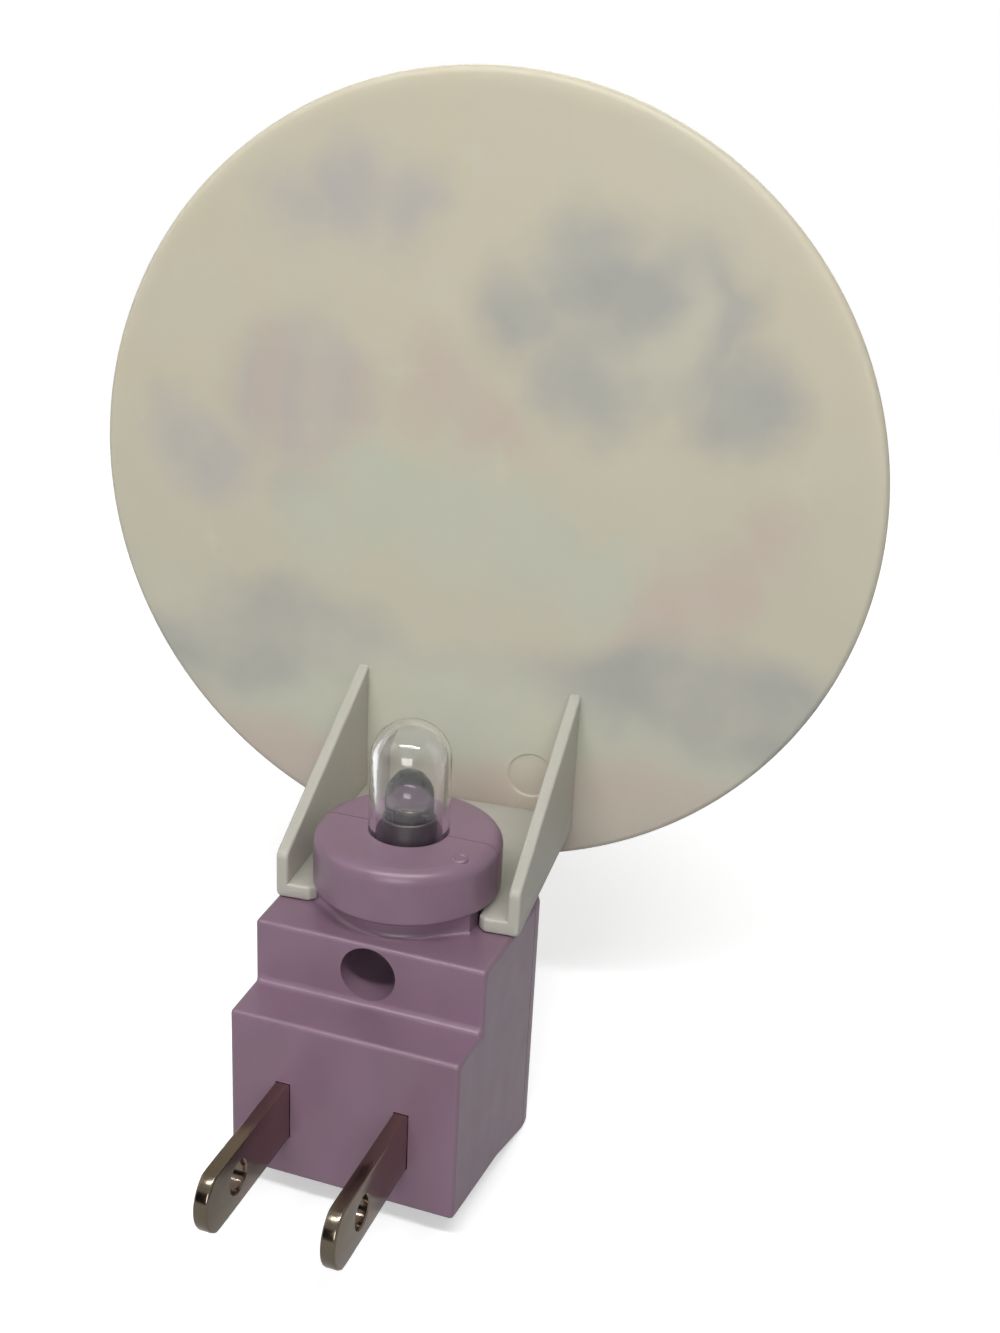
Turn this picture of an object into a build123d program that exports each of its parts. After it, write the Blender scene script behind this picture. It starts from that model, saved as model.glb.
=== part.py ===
from build123d import *
import math
import os

# Plug-in night light: a two-piece plug body with an LED under a clear capsule in its collar, and a round
# picture shade whose forked bracket swivels a few degrees about the neck, between two stop lugs.
#
# Frame, in millimetres: the origin is on the rear face, midway between the two blades. +Z is up and +Y points
# into the wall outlet, so the picture on the shade faces -Y. A depth is counted forwards from the rear face.
# Left and right are as seen from behind, so left is +X.

# ---- Plug body ----
rear_face_width = 24.3
side_draft = 2.0  # degrees, each side, from the rear face to the parting line
underside_z = -7.85
underside_fall = 1.1  # how far the underside falls from the rear face to the start of the chin
ledge_z = 10.25
body_top_z = 17.2
upper_face_setback = 6.0  # the upper part of the rear face stands this far in front of the lower part
body_depth = 24.3
cover_depth = 4.4  # from the parting line to the front face
front_corner_radius = 3.5
chin_length = 7.7  # from the start of the chin to the parting line
chin_drop = 1.85
edge_round = 0.5
step_round = 0.8  # in the corner between the ledge and the upper face
wall = 1.8
rear_wall = 2.0
seam_gap = 0.1  # open joint between the two body halves
lip_length = 1.5
lip_thickness = 1.0
lip_root = 1.8  # how far the lip's root runs along the front cover's walls
lip_clearance = 0.1

# ---- Neck and collar ----
neck_depth = 16.0
neck_radius = 8.0
collar_radius = 9.7
collar_underside_z = 19.45
collar_top_z = 25.45
collar_top_round = 1.4
collar_bottom_round = 0.5
neck_floor_thickness = 1.4  # floor inside the neck, above the body's top
lead_slot_length = 8.4
lead_slot_width = 2.4

# ---- Stop lugs on the neck, and the swivel between them ----
swivel_half_angle = 4.75  # degrees to either side of the middle
lug_reach = 9.15  # from the neck's axis to a lug's rear corner
lug_corner_angle = 24.7  # degrees round from the X axis to that corner
lug_length = 2.0  # of the flat that stops one arm of the fork
lug_root = 0.1  # how deep a lug is rooted in the neck
stop_clearance = 0.05
fork_bore_clearance = 0.08  # radial, between the neck and the closed end of the fork
fork_lift = 0.1  # between the body's top and the fork

# ---- Blades ----
blade_spacing = 12.7
blade_width = 6.35
blade_thickness = 1.5
blade_length = 17.0
blade_nose_radius = 3.6
blade_edge_bevel = 0.2
blade_hole_radius = 1.6
blade_hole_depth = 10.8  # from the rear face to the hole's centre
blade_hole_bevel = 0.3
blade_slot_clearance = 0.05
blade_shoulder_width = 8.4
blade_shoulder_length = 2.5
blade_tail_width = 3.0
blade_tail_length = 4.5
tail_hole_clearance = 0.1
tail_hole_inset = 1.2

# ---- Blade retainer, a plate staked behind the blade shoulders ----
retainer_thickness = 1.5
retainer_width = 19.0
retainer_height = 9.2
retainer_clearance = 0.1
stake_spacing = 5.2
stake_radius = 1.0
stake_head_radius = 1.5
stake_head_thickness = 0.7

# ---- Closing screw in its deep recess ----
screw_z = 13.85
recess_radius = 2.95
recess_depth = 7.5
recess_wall = 1.2
recess_floor = 1.5
screw_head_radius = 2.3
screw_crown_radius = 1.6
screw_head_height = 1.7
screw_rim_height = 0.85
screw_core_radius = 0.9
screw_thread_radius = 1.25
screw_tip_wall = 0.7  # left between the screw's tip and the front face
screw_pitch = 1.0
screw_clearance = 0.05
drive_width = 0.6
drive_length = 2.8
drive_depth = 0.9
screw_post_radius = 2.4

# ---- Clear capsule over the LED ----
capsule_radius = 4.15
capsule_wall = 0.7
capsule_top_z = 37.35
capsule_flange_radius = 5.3
capsule_flange_thickness = 1.2
capsule_clearance = 0.05

# ---- LED ----
led_radius = 2.5
led_height = 8.6
led_flange_radius = 2.9
led_flange_thickness = 1.0
led_base_z = 23.3
led_lead_pitch = 2.54
led_lead_radius = 0.25
led_frame_thickness = 0.5
led_frame_rise = 4.2  # from the LED's base to the seat of the chip's cup
led_flag_step = 2.3  # height at which the cathode's flag starts to widen
led_flag_shoulder = 3.2  # height at which it is full width
led_post_tip = 0.3  # how far the anode's tip reaches inwards from its lead's axis
led_cup_radius = 0.8
led_cup_rim_radius = 0.68
led_cup_floor_radius = 0.4
led_cup_height = 0.5
led_cup_depth = 0.3
led_chip_size = 0.3
led_chip_height = 0.15
led_holder_radius = 2.8
led_holder_length = 2.85
led_holder_clearance = 0.05
led_holder_bevel = 0.1
led_spacer_radius = 3.2
led_spacer_relief = 1.0  # height of the relief under the spacer, where the leads spread
led_lead_spread = 6.8  # distance between the leads where they pass the screw post
led_lead_bend = 0.8
sleeve_radius = 0.6
sleeve_clearance = 0.05
sleeve_end_gap = 0.1

# ---- Circuit board and what stands on it ----
board_lead_offset = 3.0  # from the LED's leads back to the board
board_thickness = 1.2
board_height = 15.0
board_side_gap = 0.6
board_bottom_gap = 0.5
board_hole_clearance = 0.1
board_post_size = 1.6
board_post_overlap = 0.7  # how far the rests and posts cover the board's edges
board_led_row_inset = 1.2  # from the board's top edge to the LED's holes
component_lead_radius = 0.25
component_lift = 0.3
lead_bend_radius = 0.6
lead_tail = 0.9
resistor_radius = 1.2
resistor_waist_radius = 1.05
resistor_end_radius = 0.7
resistor_length = 6.4
resistor_shoulder = 0.35  # length of the rounding at each end
resistor_bulb = 1.2  # length of each swollen end, shoulder included
resistor_pitch = 2.8
resistor_span = 9.6
resistor_row_inset = 1.15  # from the board's lower edge to the first resistor
resistor_shift = -2.4
diode_radius = 1.2
diode_length = 4.4
diode_edge_bevel = 0.25
diode_pitch = 2.6
diode_span = 6.4
diode_row_inset = 5.8  # from the board's top edge to the middle of the diodes
diode_shift = -1.5
capacitor_radius = 2.5
capacitor_front_gap = 2.0  # between the can's end and the front wall
capacitor_edge_round = 0.3
capacitor_crimp_height = 1.2
capacitor_crimp_depth = 0.22
capacitor_score_length = 3.5
capacitor_score_width = 0.25
capacitor_lead_pitch = 2.0
capacitor_shift = 5.6
capacitor_inset = 4.95  # from the board's lower edge to the capacitor's axis
solder_radius = 0.65
solder_top_radius = 0.4
solder_height = 0.7

# ---- Wires from the blades to the board ----
wire_core_radius = 0.25
wire_radius = 0.55
wire_bend_radius = 0.9
wire_side_gap = 0.9  # from the tail's outer face to the wire's centre
wire_rise = 3.6
wire_strip = 0.9  # bare core left between the insulation and what it is joined to
wire_overhang = 0.5  # how far the core shows past the tail and past the board

# ---- Shade ----
shade_radius = 43.1
shade_thickness = 1.8
shade_edge_round = 0.8
shade_centre_z = 55.3
shade_back_depth = 37.1
bracket_width = 25.9
bracket_rear_depth = 12.0
bracket_floor_thickness = 1.6
rib_thickness = 1.3
rib_rear_height = 5.0
rib_disc_height = 16.5
fork_ramp = 0.8
fork_lead_in = 0.7  # bevel at the end of each arm, inside
ejector_mark_radius = 2.6
ejector_mark_depth = 0.15
ejector_mark_x = -7.8
ejector_mark_z = 23.2
film_thickness = 0.15

# ---- Worked out from the sizes above ----
cavity_half_width = rear_face_width / 2 - wall
cavity_floor_z = underside_z + wall
cavity_roof_z = body_top_z - wall
ledge_inner_z = ledge_z - wall
rear_inner_y = -rear_wall
upper_inner_y = -(upper_face_setback + wall)
front_inner_y = -(body_depth - wall)
parting_depth = body_depth - cover_depth
parting_y = -parting_depth
cover_y = parting_y - seam_gap
half_parting_width = rear_face_width / 2 + parting_depth * math.tan(math.radians(side_draft))
chin_start_depth = parting_depth - chin_length
chin_start_z = underside_z - underside_fall
chin_z = chin_start_z - chin_drop
neck_y = -neck_depth
neck_floor_z = body_top_z + neck_floor_thickness
recess_floor_y = -(upper_face_setback + recess_depth)
recess_end_y = recess_floor_y - recess_floor
screw_end_y = screw_tip_wall - body_depth
screw_length = recess_floor_y - screw_end_y
shoulder_end_y = rear_inner_y - blade_shoulder_length
retainer_front_y = shoulder_end_y - retainer_thickness
tail_end_y = shoulder_end_y - blade_tail_length
tail_hole_y = tail_end_y + tail_hole_inset
board_front_y = neck_y + board_lead_offset
board_rear_y = board_front_y + board_thickness
capacitor_base_y = board_front_y - component_lift
capacitor_height = capacitor_base_y - front_inner_y - capacitor_front_gap
board_half_width = cavity_half_width - board_side_gap
board_bottom_z = cavity_floor_z + board_bottom_gap
board_top_z = board_bottom_z + board_height
led_hole_z = board_top_z - board_led_row_inset
lead_end_y = board_rear_y + lead_tail
wire_x = blade_spacing / 2 + blade_thickness / 2 + wire_side_gap
fork_floor_z = body_top_z + fork_lift
fork_top_z = fork_floor_z + bracket_floor_thickness
fork_bore_radius = neck_radius + fork_bore_clearance
shade_back_y = -shade_back_depth
shade_front_y = shade_back_y - shade_thickness
film_radius = shade_radius - shade_edge_round
lug_stop_angle = lug_corner_angle - swivel_half_angle
fork_half_width = lug_reach * math.cos(math.radians(lug_stop_angle)) + stop_clearance
fork_mouth_half = fork_half_width + fork_lead_in
sides = (-1, 1)
far = 100.0  # past the plug body on every side, for cutting

# Holes in the board, as (x, z).
resistor_rows = [board_bottom_z + resistor_row_inset + i * resistor_pitch for i in range(2)]
diode_columns = [diode_shift + (i - 1.5) * diode_pitch for i in range(4)]
diode_z = board_top_z - diode_row_inset
capacitor_z = board_bottom_z + capacitor_inset
resistor_holes = [(resistor_shift + s * resistor_span / 2, z) for z in resistor_rows for s in sides]
diode_holes = [(x, diode_z + s * diode_span / 2) for x in diode_columns for s in sides]
capacitor_holes = [(capacitor_shift, capacitor_z + s * capacitor_lead_pitch / 2) for s in sides]
led_holes = [(s * led_lead_spread / 2, led_hole_z) for s in sides]
wire_holes = [(s * wire_x, wire_rise) for s in sides]
board_holes = resistor_holes + diode_holes + capacitor_holes + led_holes + wire_holes


def block(low, high):
    """A box between its lowest and highest corners."""
    size = [b - a for a, b in zip(low, high)]
    return Pos(*low) * Box(*size, align=(Align.MIN, Align.MIN, Align.MIN))


def rod_y(x, z, start_y, end_y, radius):
    """A round bar along Y."""
    middle = (start_y + end_y) / 2
    return Pos(x, middle, z) * Rot(90, 0, 0) * Cylinder(radius, abs(end_y - start_y))


def rod_z(x, y, low_z, high_z, radius):
    """A round bar along Z."""
    return Pos(x, y, (low_z + high_z) / 2) * Cylinder(radius, high_z - low_z)


def turned(points):
    """A solid of revolution about the Z axis, from (radius, z) points."""
    return revolve(Plane.XZ * make_face(Polyline(*points, close=True)), Axis.Z)


def wire_along(points, bend, radius):
    """A round wire along straight runs joined by bends."""
    path = FilletPolyline(*points, radius=bend)
    section = Plane(origin=path @ 0, z_dir=path % 0) * Circle(radius)
    return sweep(section, path=path)


def both_sides(shape):
    """A piece and its mirror image across the middle plane."""
    return shape + mirror(shape, about=Plane.YZ)


def save(shape, node):
    """Writes one node's solids to its STEP file."""
    export_step(shape, f"parts/{node}.step")


# ---- Plug body ----
def step_corner(form):
    """The edge between the ledge and the upper face."""
    near_face = form.edges().filter_by(lambda e: abs(e.center().Y + upper_face_setback) < seam_gap)
    return near_face.filter_by(lambda e: abs(e.center().Z - ledge_z) < seam_gap)


def rear_form():
    """The stepped rear half with its drafted sides, sharp only at the parting line."""
    side = make_face(
        Polyline(
            (0, underside_z),
            (0, ledge_z),
            (-upper_face_setback, ledge_z),
            (-upper_face_setback, body_top_z),
            (parting_y, body_top_z),
            (parting_y, chin_z),
            (-chin_start_depth, chin_start_z),
            close=True,
        )
    )
    half_rear = rear_face_width / 2
    half_front = half_parting_width
    corners = [(-half_rear, 0), (half_rear, 0), (half_front, parting_y), (-half_front, parting_y)]
    plan = make_face(Polyline(*corners, close=True))
    half = extrude(Plane.YZ * side, amount=far, both=True) & extrude(plan, amount=far, both=True)
    kept_sharp = half.edges().filter_by(lambda e: abs(e.center().Y - parting_y) < seam_gap)
    half = fillet(half.edges() - kept_sharp - step_corner(half), edge_round)
    return fillet(step_corner(half), step_round)


def front_form():
    """The front half, a slab with round corners down its front, rounded round its top and its underside."""
    half = half_parting_width
    corners = [(half, cover_y), (half, -body_depth), (-half, -body_depth), (-half, cover_y)]
    plan = make_face(Polyline(*corners, close=True))
    plan = fillet(plan.vertices().group_by(Axis.Y)[0], front_corner_radius)
    slab = extrude(Pos(0, 0, chin_z) * plan, amount=body_top_z - chin_z)
    around = slab.edges().filter_by(lambda e: e.center().Y < cover_y - seam_gap)
    return fillet(around.group_by(Axis.Z)[0] + around.group_by(Axis.Z)[-1], edge_round)


def cavity():
    """The space inside the two halves."""
    half = cavity_half_width
    lower = block((-half, front_inner_y, cavity_floor_z), (half, rear_inner_y, ledge_inner_z))
    upper = block((-half, front_inner_y, cavity_floor_z), (half, upper_inner_y, cavity_roof_z))
    return lower + upper


def lead_slot():
    """The slot through the neck's floor that the LED's leads pass."""
    half_length = lead_slot_length / 2
    half_width = lead_slot_width / 2
    low = (-half_length, neck_y - half_width, cavity_roof_z)
    return block(low, (half_length, neck_y + half_width, neck_floor_z))


def neck_form():
    """The neck and its collar, with the seat and the bore for the capsule."""
    neck = rod_z(0, neck_y, body_top_z, collar_underside_z, neck_radius)
    collar = rod_z(0, neck_y, collar_underside_z, collar_top_z, collar_radius)
    rims = collar.edges().filter_by(GeomType.CIRCLE).sort_by(Axis.Z)
    collar = fillet(rims[-1], collar_top_round)
    rims = collar.edges().filter_by(GeomType.CIRCLE).sort_by(Axis.Z)
    collar = fillet(rims[0], collar_bottom_round)
    seat_top_z = neck_floor_z + capsule_flange_thickness + 2 * capsule_clearance
    seat = rod_z(0, neck_y, neck_floor_z, seat_top_z, capsule_flange_radius + capsule_clearance)
    bore = rod_z(0, neck_y, neck_floor_z, collar_top_z, capsule_radius + capsule_clearance)
    return neck + collar - seat - bore


def around_neck(radius, angle):
    """A point in plan at a radius from the neck's axis, at an angle from +X towards the rear."""
    turn = math.radians(angle)
    return (radius * math.cos(turn), neck_y + radius * math.sin(turn))


def stop_lugs():
    """A lug on each side of the neck, under the collar, that stops one arm of the fork.

    Its rear face leaves the neck almost as a tangent, and its outer face lies flat against the arm at the stop.
    """
    corner = around_neck(lug_reach, lug_corner_angle)
    turn = math.radians(swivel_half_angle)
    front = (corner[0] + lug_length * math.sin(turn), corner[1] - lug_length * math.cos(turn))
    root_radius = neck_radius - lug_root
    rear_angle = lug_corner_angle + math.degrees(math.acos(neck_radius / lug_reach))
    front_angle = math.degrees(math.atan2(front[1] - neck_y, front[0]))
    rear_root = around_neck(root_radius, rear_angle)
    front_root = around_neck(root_radius, front_angle)
    outline = make_face(Polyline(corner, rear_root, front_root, front, close=True))
    top_z = collar_underside_z + collar_bottom_round
    return both_sides(extrude(Pos(0, 0, body_top_z) * outline, amount=top_z - body_top_z))


def blade_slots():
    """The two slots in the rear wall that the blades pass."""
    half_x = blade_thickness / 2 + blade_slot_clearance
    half_z = blade_width / 2 + blade_slot_clearance
    x = blade_spacing / 2
    return both_sides(block((x - half_x, rear_inner_y, -half_z), (x + half_x, 0, half_z)))


def stakes():
    """Two posts through the blade retainer, with their heads formed over the plate."""
    head_y = retainer_front_y - stake_head_thickness
    pieces = Part()
    for side in sides:
        z = side * stake_spacing / 2
        pieces += rod_y(0, z, rear_inner_y, retainer_front_y, stake_radius)
        pieces += rod_y(0, z, retainer_front_y, head_y, stake_head_radius)
    return pieces


def board_rests():
    """Four ledges behind the board's corners, grown from the rear housing's walls."""
    inner_x = cavity_half_width - board_post_size
    low_top_z = board_bottom_z + board_post_overlap
    high_z = board_top_z - board_post_overlap
    high_top_z = high_z + board_post_size
    low = block((inner_x, board_rear_y, cavity_floor_z), (cavity_half_width, rear_inner_y, low_top_z))
    high = block((inner_x, board_rear_y, high_z), (cavity_half_width, upper_inner_y, high_top_z))
    return both_sides(low + high)


def rear_housing():
    """The half that carries the blades, the screw recess, the stop lugs and the rear half of the neck."""
    shell = rear_form() - cavity()
    shell += neck_form() & block((-far, neck_y, -far), (far, far, far))
    shell += stop_lugs()
    shell += board_rests()
    tube = rod_y(0, screw_z, upper_inner_y, recess_end_y, recess_radius + recess_wall)
    shell += tube & block((-far, -far, -far), (far, far, body_top_z))
    shell += rod_y(0, screw_z, recess_end_y, parting_y, screw_post_radius)
    shell -= rod_y(0, screw_z, 0, recess_floor_y, recess_radius)
    shell -= rod_y(0, screw_z, recess_floor_y, parting_y, screw_thread_radius + screw_clearance)
    shell += stakes()
    return shell - blade_slots() - lead_slot()


def lead_room():
    """The space inside the body that the cover's lip leaves to the LED's leads and their sleeves."""
    half_x = led_lead_spread / 2 + sleeve_radius + lip_clearance
    half_y = sleeve_radius + lip_clearance
    return block((-half_x, neck_y - half_y, led_hole_z), (half_x, neck_y + half_y, cavity_roof_z))


def cover_lip():
    """A lip round the front cover that locates inside the rear housing, clear of the screw post and the leads."""
    half = cavity_half_width
    root_y = cover_y - lip_root
    end_y = parting_y + lip_length
    gap = lip_clearance
    inset = lip_clearance + lip_thickness
    root = block((-half, root_y, cavity_floor_z), (half, cover_y, cavity_roof_z))
    low = (-half + gap, cover_y, cavity_floor_z + gap)
    lip = root + block(low, (half - gap, end_y, cavity_roof_z - gap))
    low = (-half + inset, root_y, cavity_floor_z + inset)
    lip -= block(low, (half - inset, end_y, cavity_roof_z - inset))
    return lip - rod_y(0, screw_z, cover_y, end_y, screw_post_radius + gap) - lead_room()


def board_posts():
    """Four posts on the front cover that hold the board against its rests."""
    outer_x = cavity_half_width - lip_clearance
    inner_x = outer_x - board_post_size
    low_z = cavity_floor_z + lip_clearance
    low_top_z = board_bottom_z + board_post_overlap
    high_z = board_top_z - board_post_overlap
    low = block((inner_x, front_inner_y, low_z), (outer_x, board_front_y, low_top_z))
    high = block((inner_x, front_inner_y, high_z), (outer_x, board_front_y, high_z + board_post_size))
    return both_sides(low + high)


def front_cover():
    """The half that closes the body, with the front half of the neck and the boss that the screw bites."""
    shell = front_form() - cavity()
    shell += neck_form() & block((-far, -far, -far), (far, neck_y - seam_gap, far))
    shell += rod_y(0, screw_z, front_inner_y, cover_y, screw_post_radius)
    shell += cover_lip()
    shell += board_posts()
    shell -= rod_y(0, screw_z, cover_y, screw_end_y - seam_gap, screw_thread_radius + screw_clearance)
    return shell - lead_slot()


def housing_screw():
    """The closing screw, pan head outwards, with ring threads and a cross drive."""
    head = turned(
        [
            (0, 0),
            (screw_head_radius, 0),
            (screw_head_radius, -screw_rim_height),
            (screw_crown_radius, -screw_head_height),
            (0, -screw_head_height),
        ]
    )
    tip_start = screw_length - screw_pitch
    outline = [(0, 0), (screw_core_radius, 0)]
    for i in range(int(tip_start / screw_pitch)):
        root = (i + 0.25) * screw_pitch
        outline += [(screw_core_radius, root), (screw_thread_radius, root + screw_pitch / 4)]
        outline += [(screw_core_radius, root + screw_pitch / 2)]
    outline += [(screw_core_radius, tip_start), (0, screw_length)]
    screw = head + turned(outline)
    drive_z = drive_depth / 2 - screw_head_height
    for size in ((drive_length, drive_width), (drive_width, drive_length)):
        screw -= Pos(0, 0, drive_z) * Box(*size, drive_depth)
    return Pos(0, recess_floor_y, screw_z) * Rot(90, 0, 0) * screw


# ---- Blades and their retainer ----
def blade(side):
    """A flat blade with a round nose and a hole, a shoulder behind the rear wall and a tail for the wire."""
    half = blade_width / 2
    half_x = blade_thickness / 2
    straight = blade_length - blade_nose_radius + math.sqrt(blade_nose_radius**2 - half**2)
    edge = Polyline((straight, -half), (rear_inner_y, -half), (rear_inner_y, half), (straight, half))
    nose = ThreePointArc((straight, half), (blade_length, 0), (straight, -half))
    outside = extrude(Plane.YZ * make_face(edge + nose), amount=half_x, both=True)
    rims = outside.edges().filter_by(lambda e: e.center().Y > 0 and abs(e.center().X) > half_x / 2)
    outside = chamfer(rims, blade_edge_bevel)
    outside -= Pos(0, blade_hole_depth, 0) * Rot(0, 90, 0) * Cylinder(blade_hole_radius, far)
    rims = outside.edges().filter_by(GeomType.CIRCLE)
    rims = rims.filter_by(lambda e: abs(e.radius - blade_hole_radius) < blade_hole_bevel)
    outside = chamfer(rims, blade_hole_bevel)
    half_shoulder = blade_shoulder_width / 2
    half_tail = blade_tail_width / 2
    shoulder = block((-half_x, shoulder_end_y, -half_shoulder), (half_x, rear_inner_y, half_shoulder))
    tail = block((-half_x, tail_end_y, -half_tail), (half_x, shoulder_end_y, half_tail))
    tail_hole_radius = wire_core_radius + tail_hole_clearance
    tail -= Pos(0, tail_hole_y, 0) * Rot(0, 90, 0) * Cylinder(tail_hole_radius, far)
    return Pos(side * blade_spacing / 2, 0, 0) * (outside + shoulder + tail)


def blade_retainer():
    """An insulating plate over both blade shoulders, held by the two stakes."""
    half_x = retainer_width / 2
    half_z = retainer_height / 2
    plate = block((-half_x, retainer_front_y, -half_z), (half_x, shoulder_end_y, half_z))
    slot_x = blade_thickness / 2 + retainer_clearance
    slot_z = blade_tail_width / 2 + retainer_clearance
    for side in sides:
        x = side * blade_spacing / 2
        plate -= block((x - slot_x, retainer_front_y, -slot_z), (x + slot_x, shoulder_end_y, slot_z))
        z = side * stake_spacing / 2
        plate -= rod_y(0, z, retainer_front_y, shoulder_end_y, stake_radius + retainer_clearance)
    return plate


# ---- Capsule and LED ----
def lens_capsule():
    """The clear domed capsule, open below, with the flange that the two neck halves trap."""
    dome_z = capsule_top_z - capsule_radius
    base_z = neck_floor_z + capsule_clearance
    inner_radius = capsule_radius - capsule_wall
    outer = rod_z(0, neck_y, base_z, dome_z, capsule_radius)
    outer += Pos(0, neck_y, dome_z) * Sphere(capsule_radius)
    outer += rod_z(0, neck_y, base_z, base_z + capsule_flange_thickness, capsule_flange_radius)
    inner = rod_z(0, neck_y, base_z, dome_z, inner_radius)
    inner += Pos(0, neck_y, dome_z) * Sphere(inner_radius)
    return outer - inner


def led_frame_plate(points):
    """A flat piece of the LED's lead frame, from (x, height above the LED's base) points."""
    outline = make_face(Polyline(*points, close=True))
    plate = extrude(Plane.XZ * outline, amount=led_frame_thickness / 2, both=True)
    return Pos(0, neck_y, led_base_z) * plate


def led_lead(side):
    """One LED lead: down through the spacer, out past the screw post, down and back into the board."""
    near = side * led_lead_pitch / 2
    wide = side * led_lead_spread / 2
    points = [
        (near, neck_y, led_base_z + led_flange_thickness),
        (near, neck_y, neck_floor_z),
        (wide, neck_y, cavity_roof_z),
        (wide, neck_y, led_hole_z),
        (wide, lead_end_y, led_hole_z),
    ]
    return wire_along(points, led_lead_bend, led_lead_radius)


def led_cathode_lead():
    """The lead whose flag carries the reflector cup, on the right."""
    near = -led_lead_pitch / 2
    flag = led_frame_plate(
        [
            (near - led_lead_radius, led_flange_thickness),
            (near + led_lead_radius, led_flange_thickness),
            (near + led_lead_radius, led_flag_step),
            (led_cup_radius, led_flag_shoulder),
            (led_cup_radius, led_frame_rise),
            (near - led_lead_radius, led_frame_rise),
        ]
    )
    cup_z = led_base_z + led_frame_rise
    rim_z = cup_z + led_cup_height
    floor_z = rim_z - led_cup_depth
    bowl = turned([(0, floor_z), (led_cup_floor_radius, floor_z), (led_cup_rim_radius, rim_z), (0, rim_z)])
    cup = rod_z(0, neck_y, cup_z, rim_z, led_cup_radius) - Pos(0, neck_y, 0) * bowl
    return led_lead(-1) + flag + cup


def led_anode_lead():
    """The lead that ends in a slim post beside the cup, on the left."""
    near = led_lead_pitch / 2
    post = led_frame_plate(
        [
            (near - led_lead_radius, led_flange_thickness),
            (near + led_lead_radius, led_flange_thickness),
            (near + led_lead_radius, led_frame_rise),
            (near - led_post_tip, led_frame_rise),
        ]
    )
    return led_lead(1) + post


def led_chip():
    """The chip on the floor of the reflector cup."""
    floor_z = led_base_z + led_frame_rise + led_cup_height - led_cup_depth
    half = led_chip_size / 2
    return block((-half, neck_y - half, floor_z), (half, neck_y + half, floor_z + led_chip_height))


def led_lens():
    """The LED's clear epoxy body, cast round its lead frame and its chip, with a flat on the cathode side."""
    dome_z = led_base_z + led_height - led_radius
    flange = rod_z(0, neck_y, led_base_z, led_base_z + led_flange_thickness, led_flange_radius)
    flange -= block((-far, -far, -far), (-led_radius, far, far))
    body = rod_z(0, neck_y, led_base_z, dome_z, led_radius) + flange
    body += Pos(0, neck_y, dome_z) * Sphere(led_radius)
    return body - led_cathode_lead() - led_anode_lead() - led_chip()


def led_holder():
    """The dark tube that stands on the LED's flange, round the lower part of its body."""
    base_z = led_base_z + led_flange_thickness
    end_z = base_z + led_holder_length
    tube = rod_z(0, neck_y, base_z, end_z, led_holder_radius)
    tube = chamfer(tube.edges().filter_by(GeomType.CIRCLE).sort_by(Axis.Z)[-1], led_holder_bevel)
    return tube - rod_z(0, neck_y, base_z, end_z, led_radius + led_holder_clearance)


def led_spacer():
    """The tube that stands the LED on the neck's floor, with a hole for each lead."""
    spacer = rod_z(0, neck_y, neck_floor_z, led_base_z, led_spacer_radius)
    hole_radius = led_lead_radius + sleeve_clearance
    relief_x = led_lead_pitch / 2 + 2 * led_lead_radius
    relief_y = 2 * led_lead_radius
    relief_z = neck_floor_z + led_spacer_relief
    for side in sides:
        spacer -= rod_z(side * led_lead_pitch / 2, neck_y, neck_floor_z, led_base_z, hole_radius)
    low = (-relief_x, neck_y - relief_y, neck_floor_z)
    return spacer - block(low, (relief_x, neck_y + relief_y, relief_z))


def lead_sleeves():
    """Insulating sleeves on the LED's leads where they pass the screw post."""
    low_z = led_hole_z + led_lead_bend + sleeve_end_gap
    high_z = cavity_roof_z - led_lead_bend - sleeve_end_gap
    pieces = []
    for side in sides:
        x = side * led_lead_spread / 2
        tube = rod_z(x, neck_y, low_z, high_z, sleeve_radius)
        pieces.append(tube - rod_z(x, neck_y, low_z, high_z, led_lead_radius + sleeve_clearance))
    return Compound(pieces)


# ---- Circuit board ----
def circuit_board():
    """The board, upright across the body, with a hole for every lead."""
    low = (-board_half_width, board_front_y, board_bottom_z)
    board = block(low, (board_half_width, board_rear_y, board_top_z))
    for x, z in board_holes:
        board -= rod_y(x, z, board_front_y, board_rear_y, component_lead_radius + board_hole_clearance)
    return board


def bent_lead(start, hole, axis_y):
    """A component's lead: straight out of its end, then back through the board."""
    points = [(start[0], axis_y, start[1]), (hole[0], axis_y, hole[1]), (hole[0], lead_end_y, hole[1])]
    return wire_along(points, lead_bend_radius, component_lead_radius)


def component_leads():
    """The tinned leads of the resistors, the diodes and the capacitor."""
    resistor_y = board_front_y - component_lift - resistor_radius
    diode_y = board_front_y - component_lift - diode_radius
    pieces = []
    for side in sides:
        for z in resistor_rows:
            start = (resistor_shift + side * resistor_length / 2, z)
            pieces.append(bent_lead(start, (resistor_shift + side * resistor_span / 2, z), resistor_y))
        for x in diode_columns:
            start = (x, diode_z + side * diode_length / 2)
            pieces.append(bent_lead(start, (x, diode_z + side * diode_span / 2), diode_y))
    for x, z in capacitor_holes:
        pieces.append(rod_y(x, z, capacitor_base_y, lead_end_y, component_lead_radius))
    return Compound(pieces)


def dropper_resistors():
    """The two resistors that drop the mains voltage, swollen at their ends."""
    half = resistor_length / 2
    upper = [
        (resistor_waist_radius, half - resistor_bulb - resistor_shoulder),
        (resistor_radius, half - resistor_bulb),
        (resistor_radius, half - resistor_shoulder),
        (resistor_end_radius, half),
    ]
    lower = [(radius, -z) for radius, z in reversed(upper)]
    resistor = Rot(0, 90, 0) * turned([(0, -half), *lower, *upper, (0, half)])
    axis_y = board_front_y - component_lift - resistor_radius
    return Compound([Pos(resistor_shift, axis_y, z) * resistor for z in resistor_rows])


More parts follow.
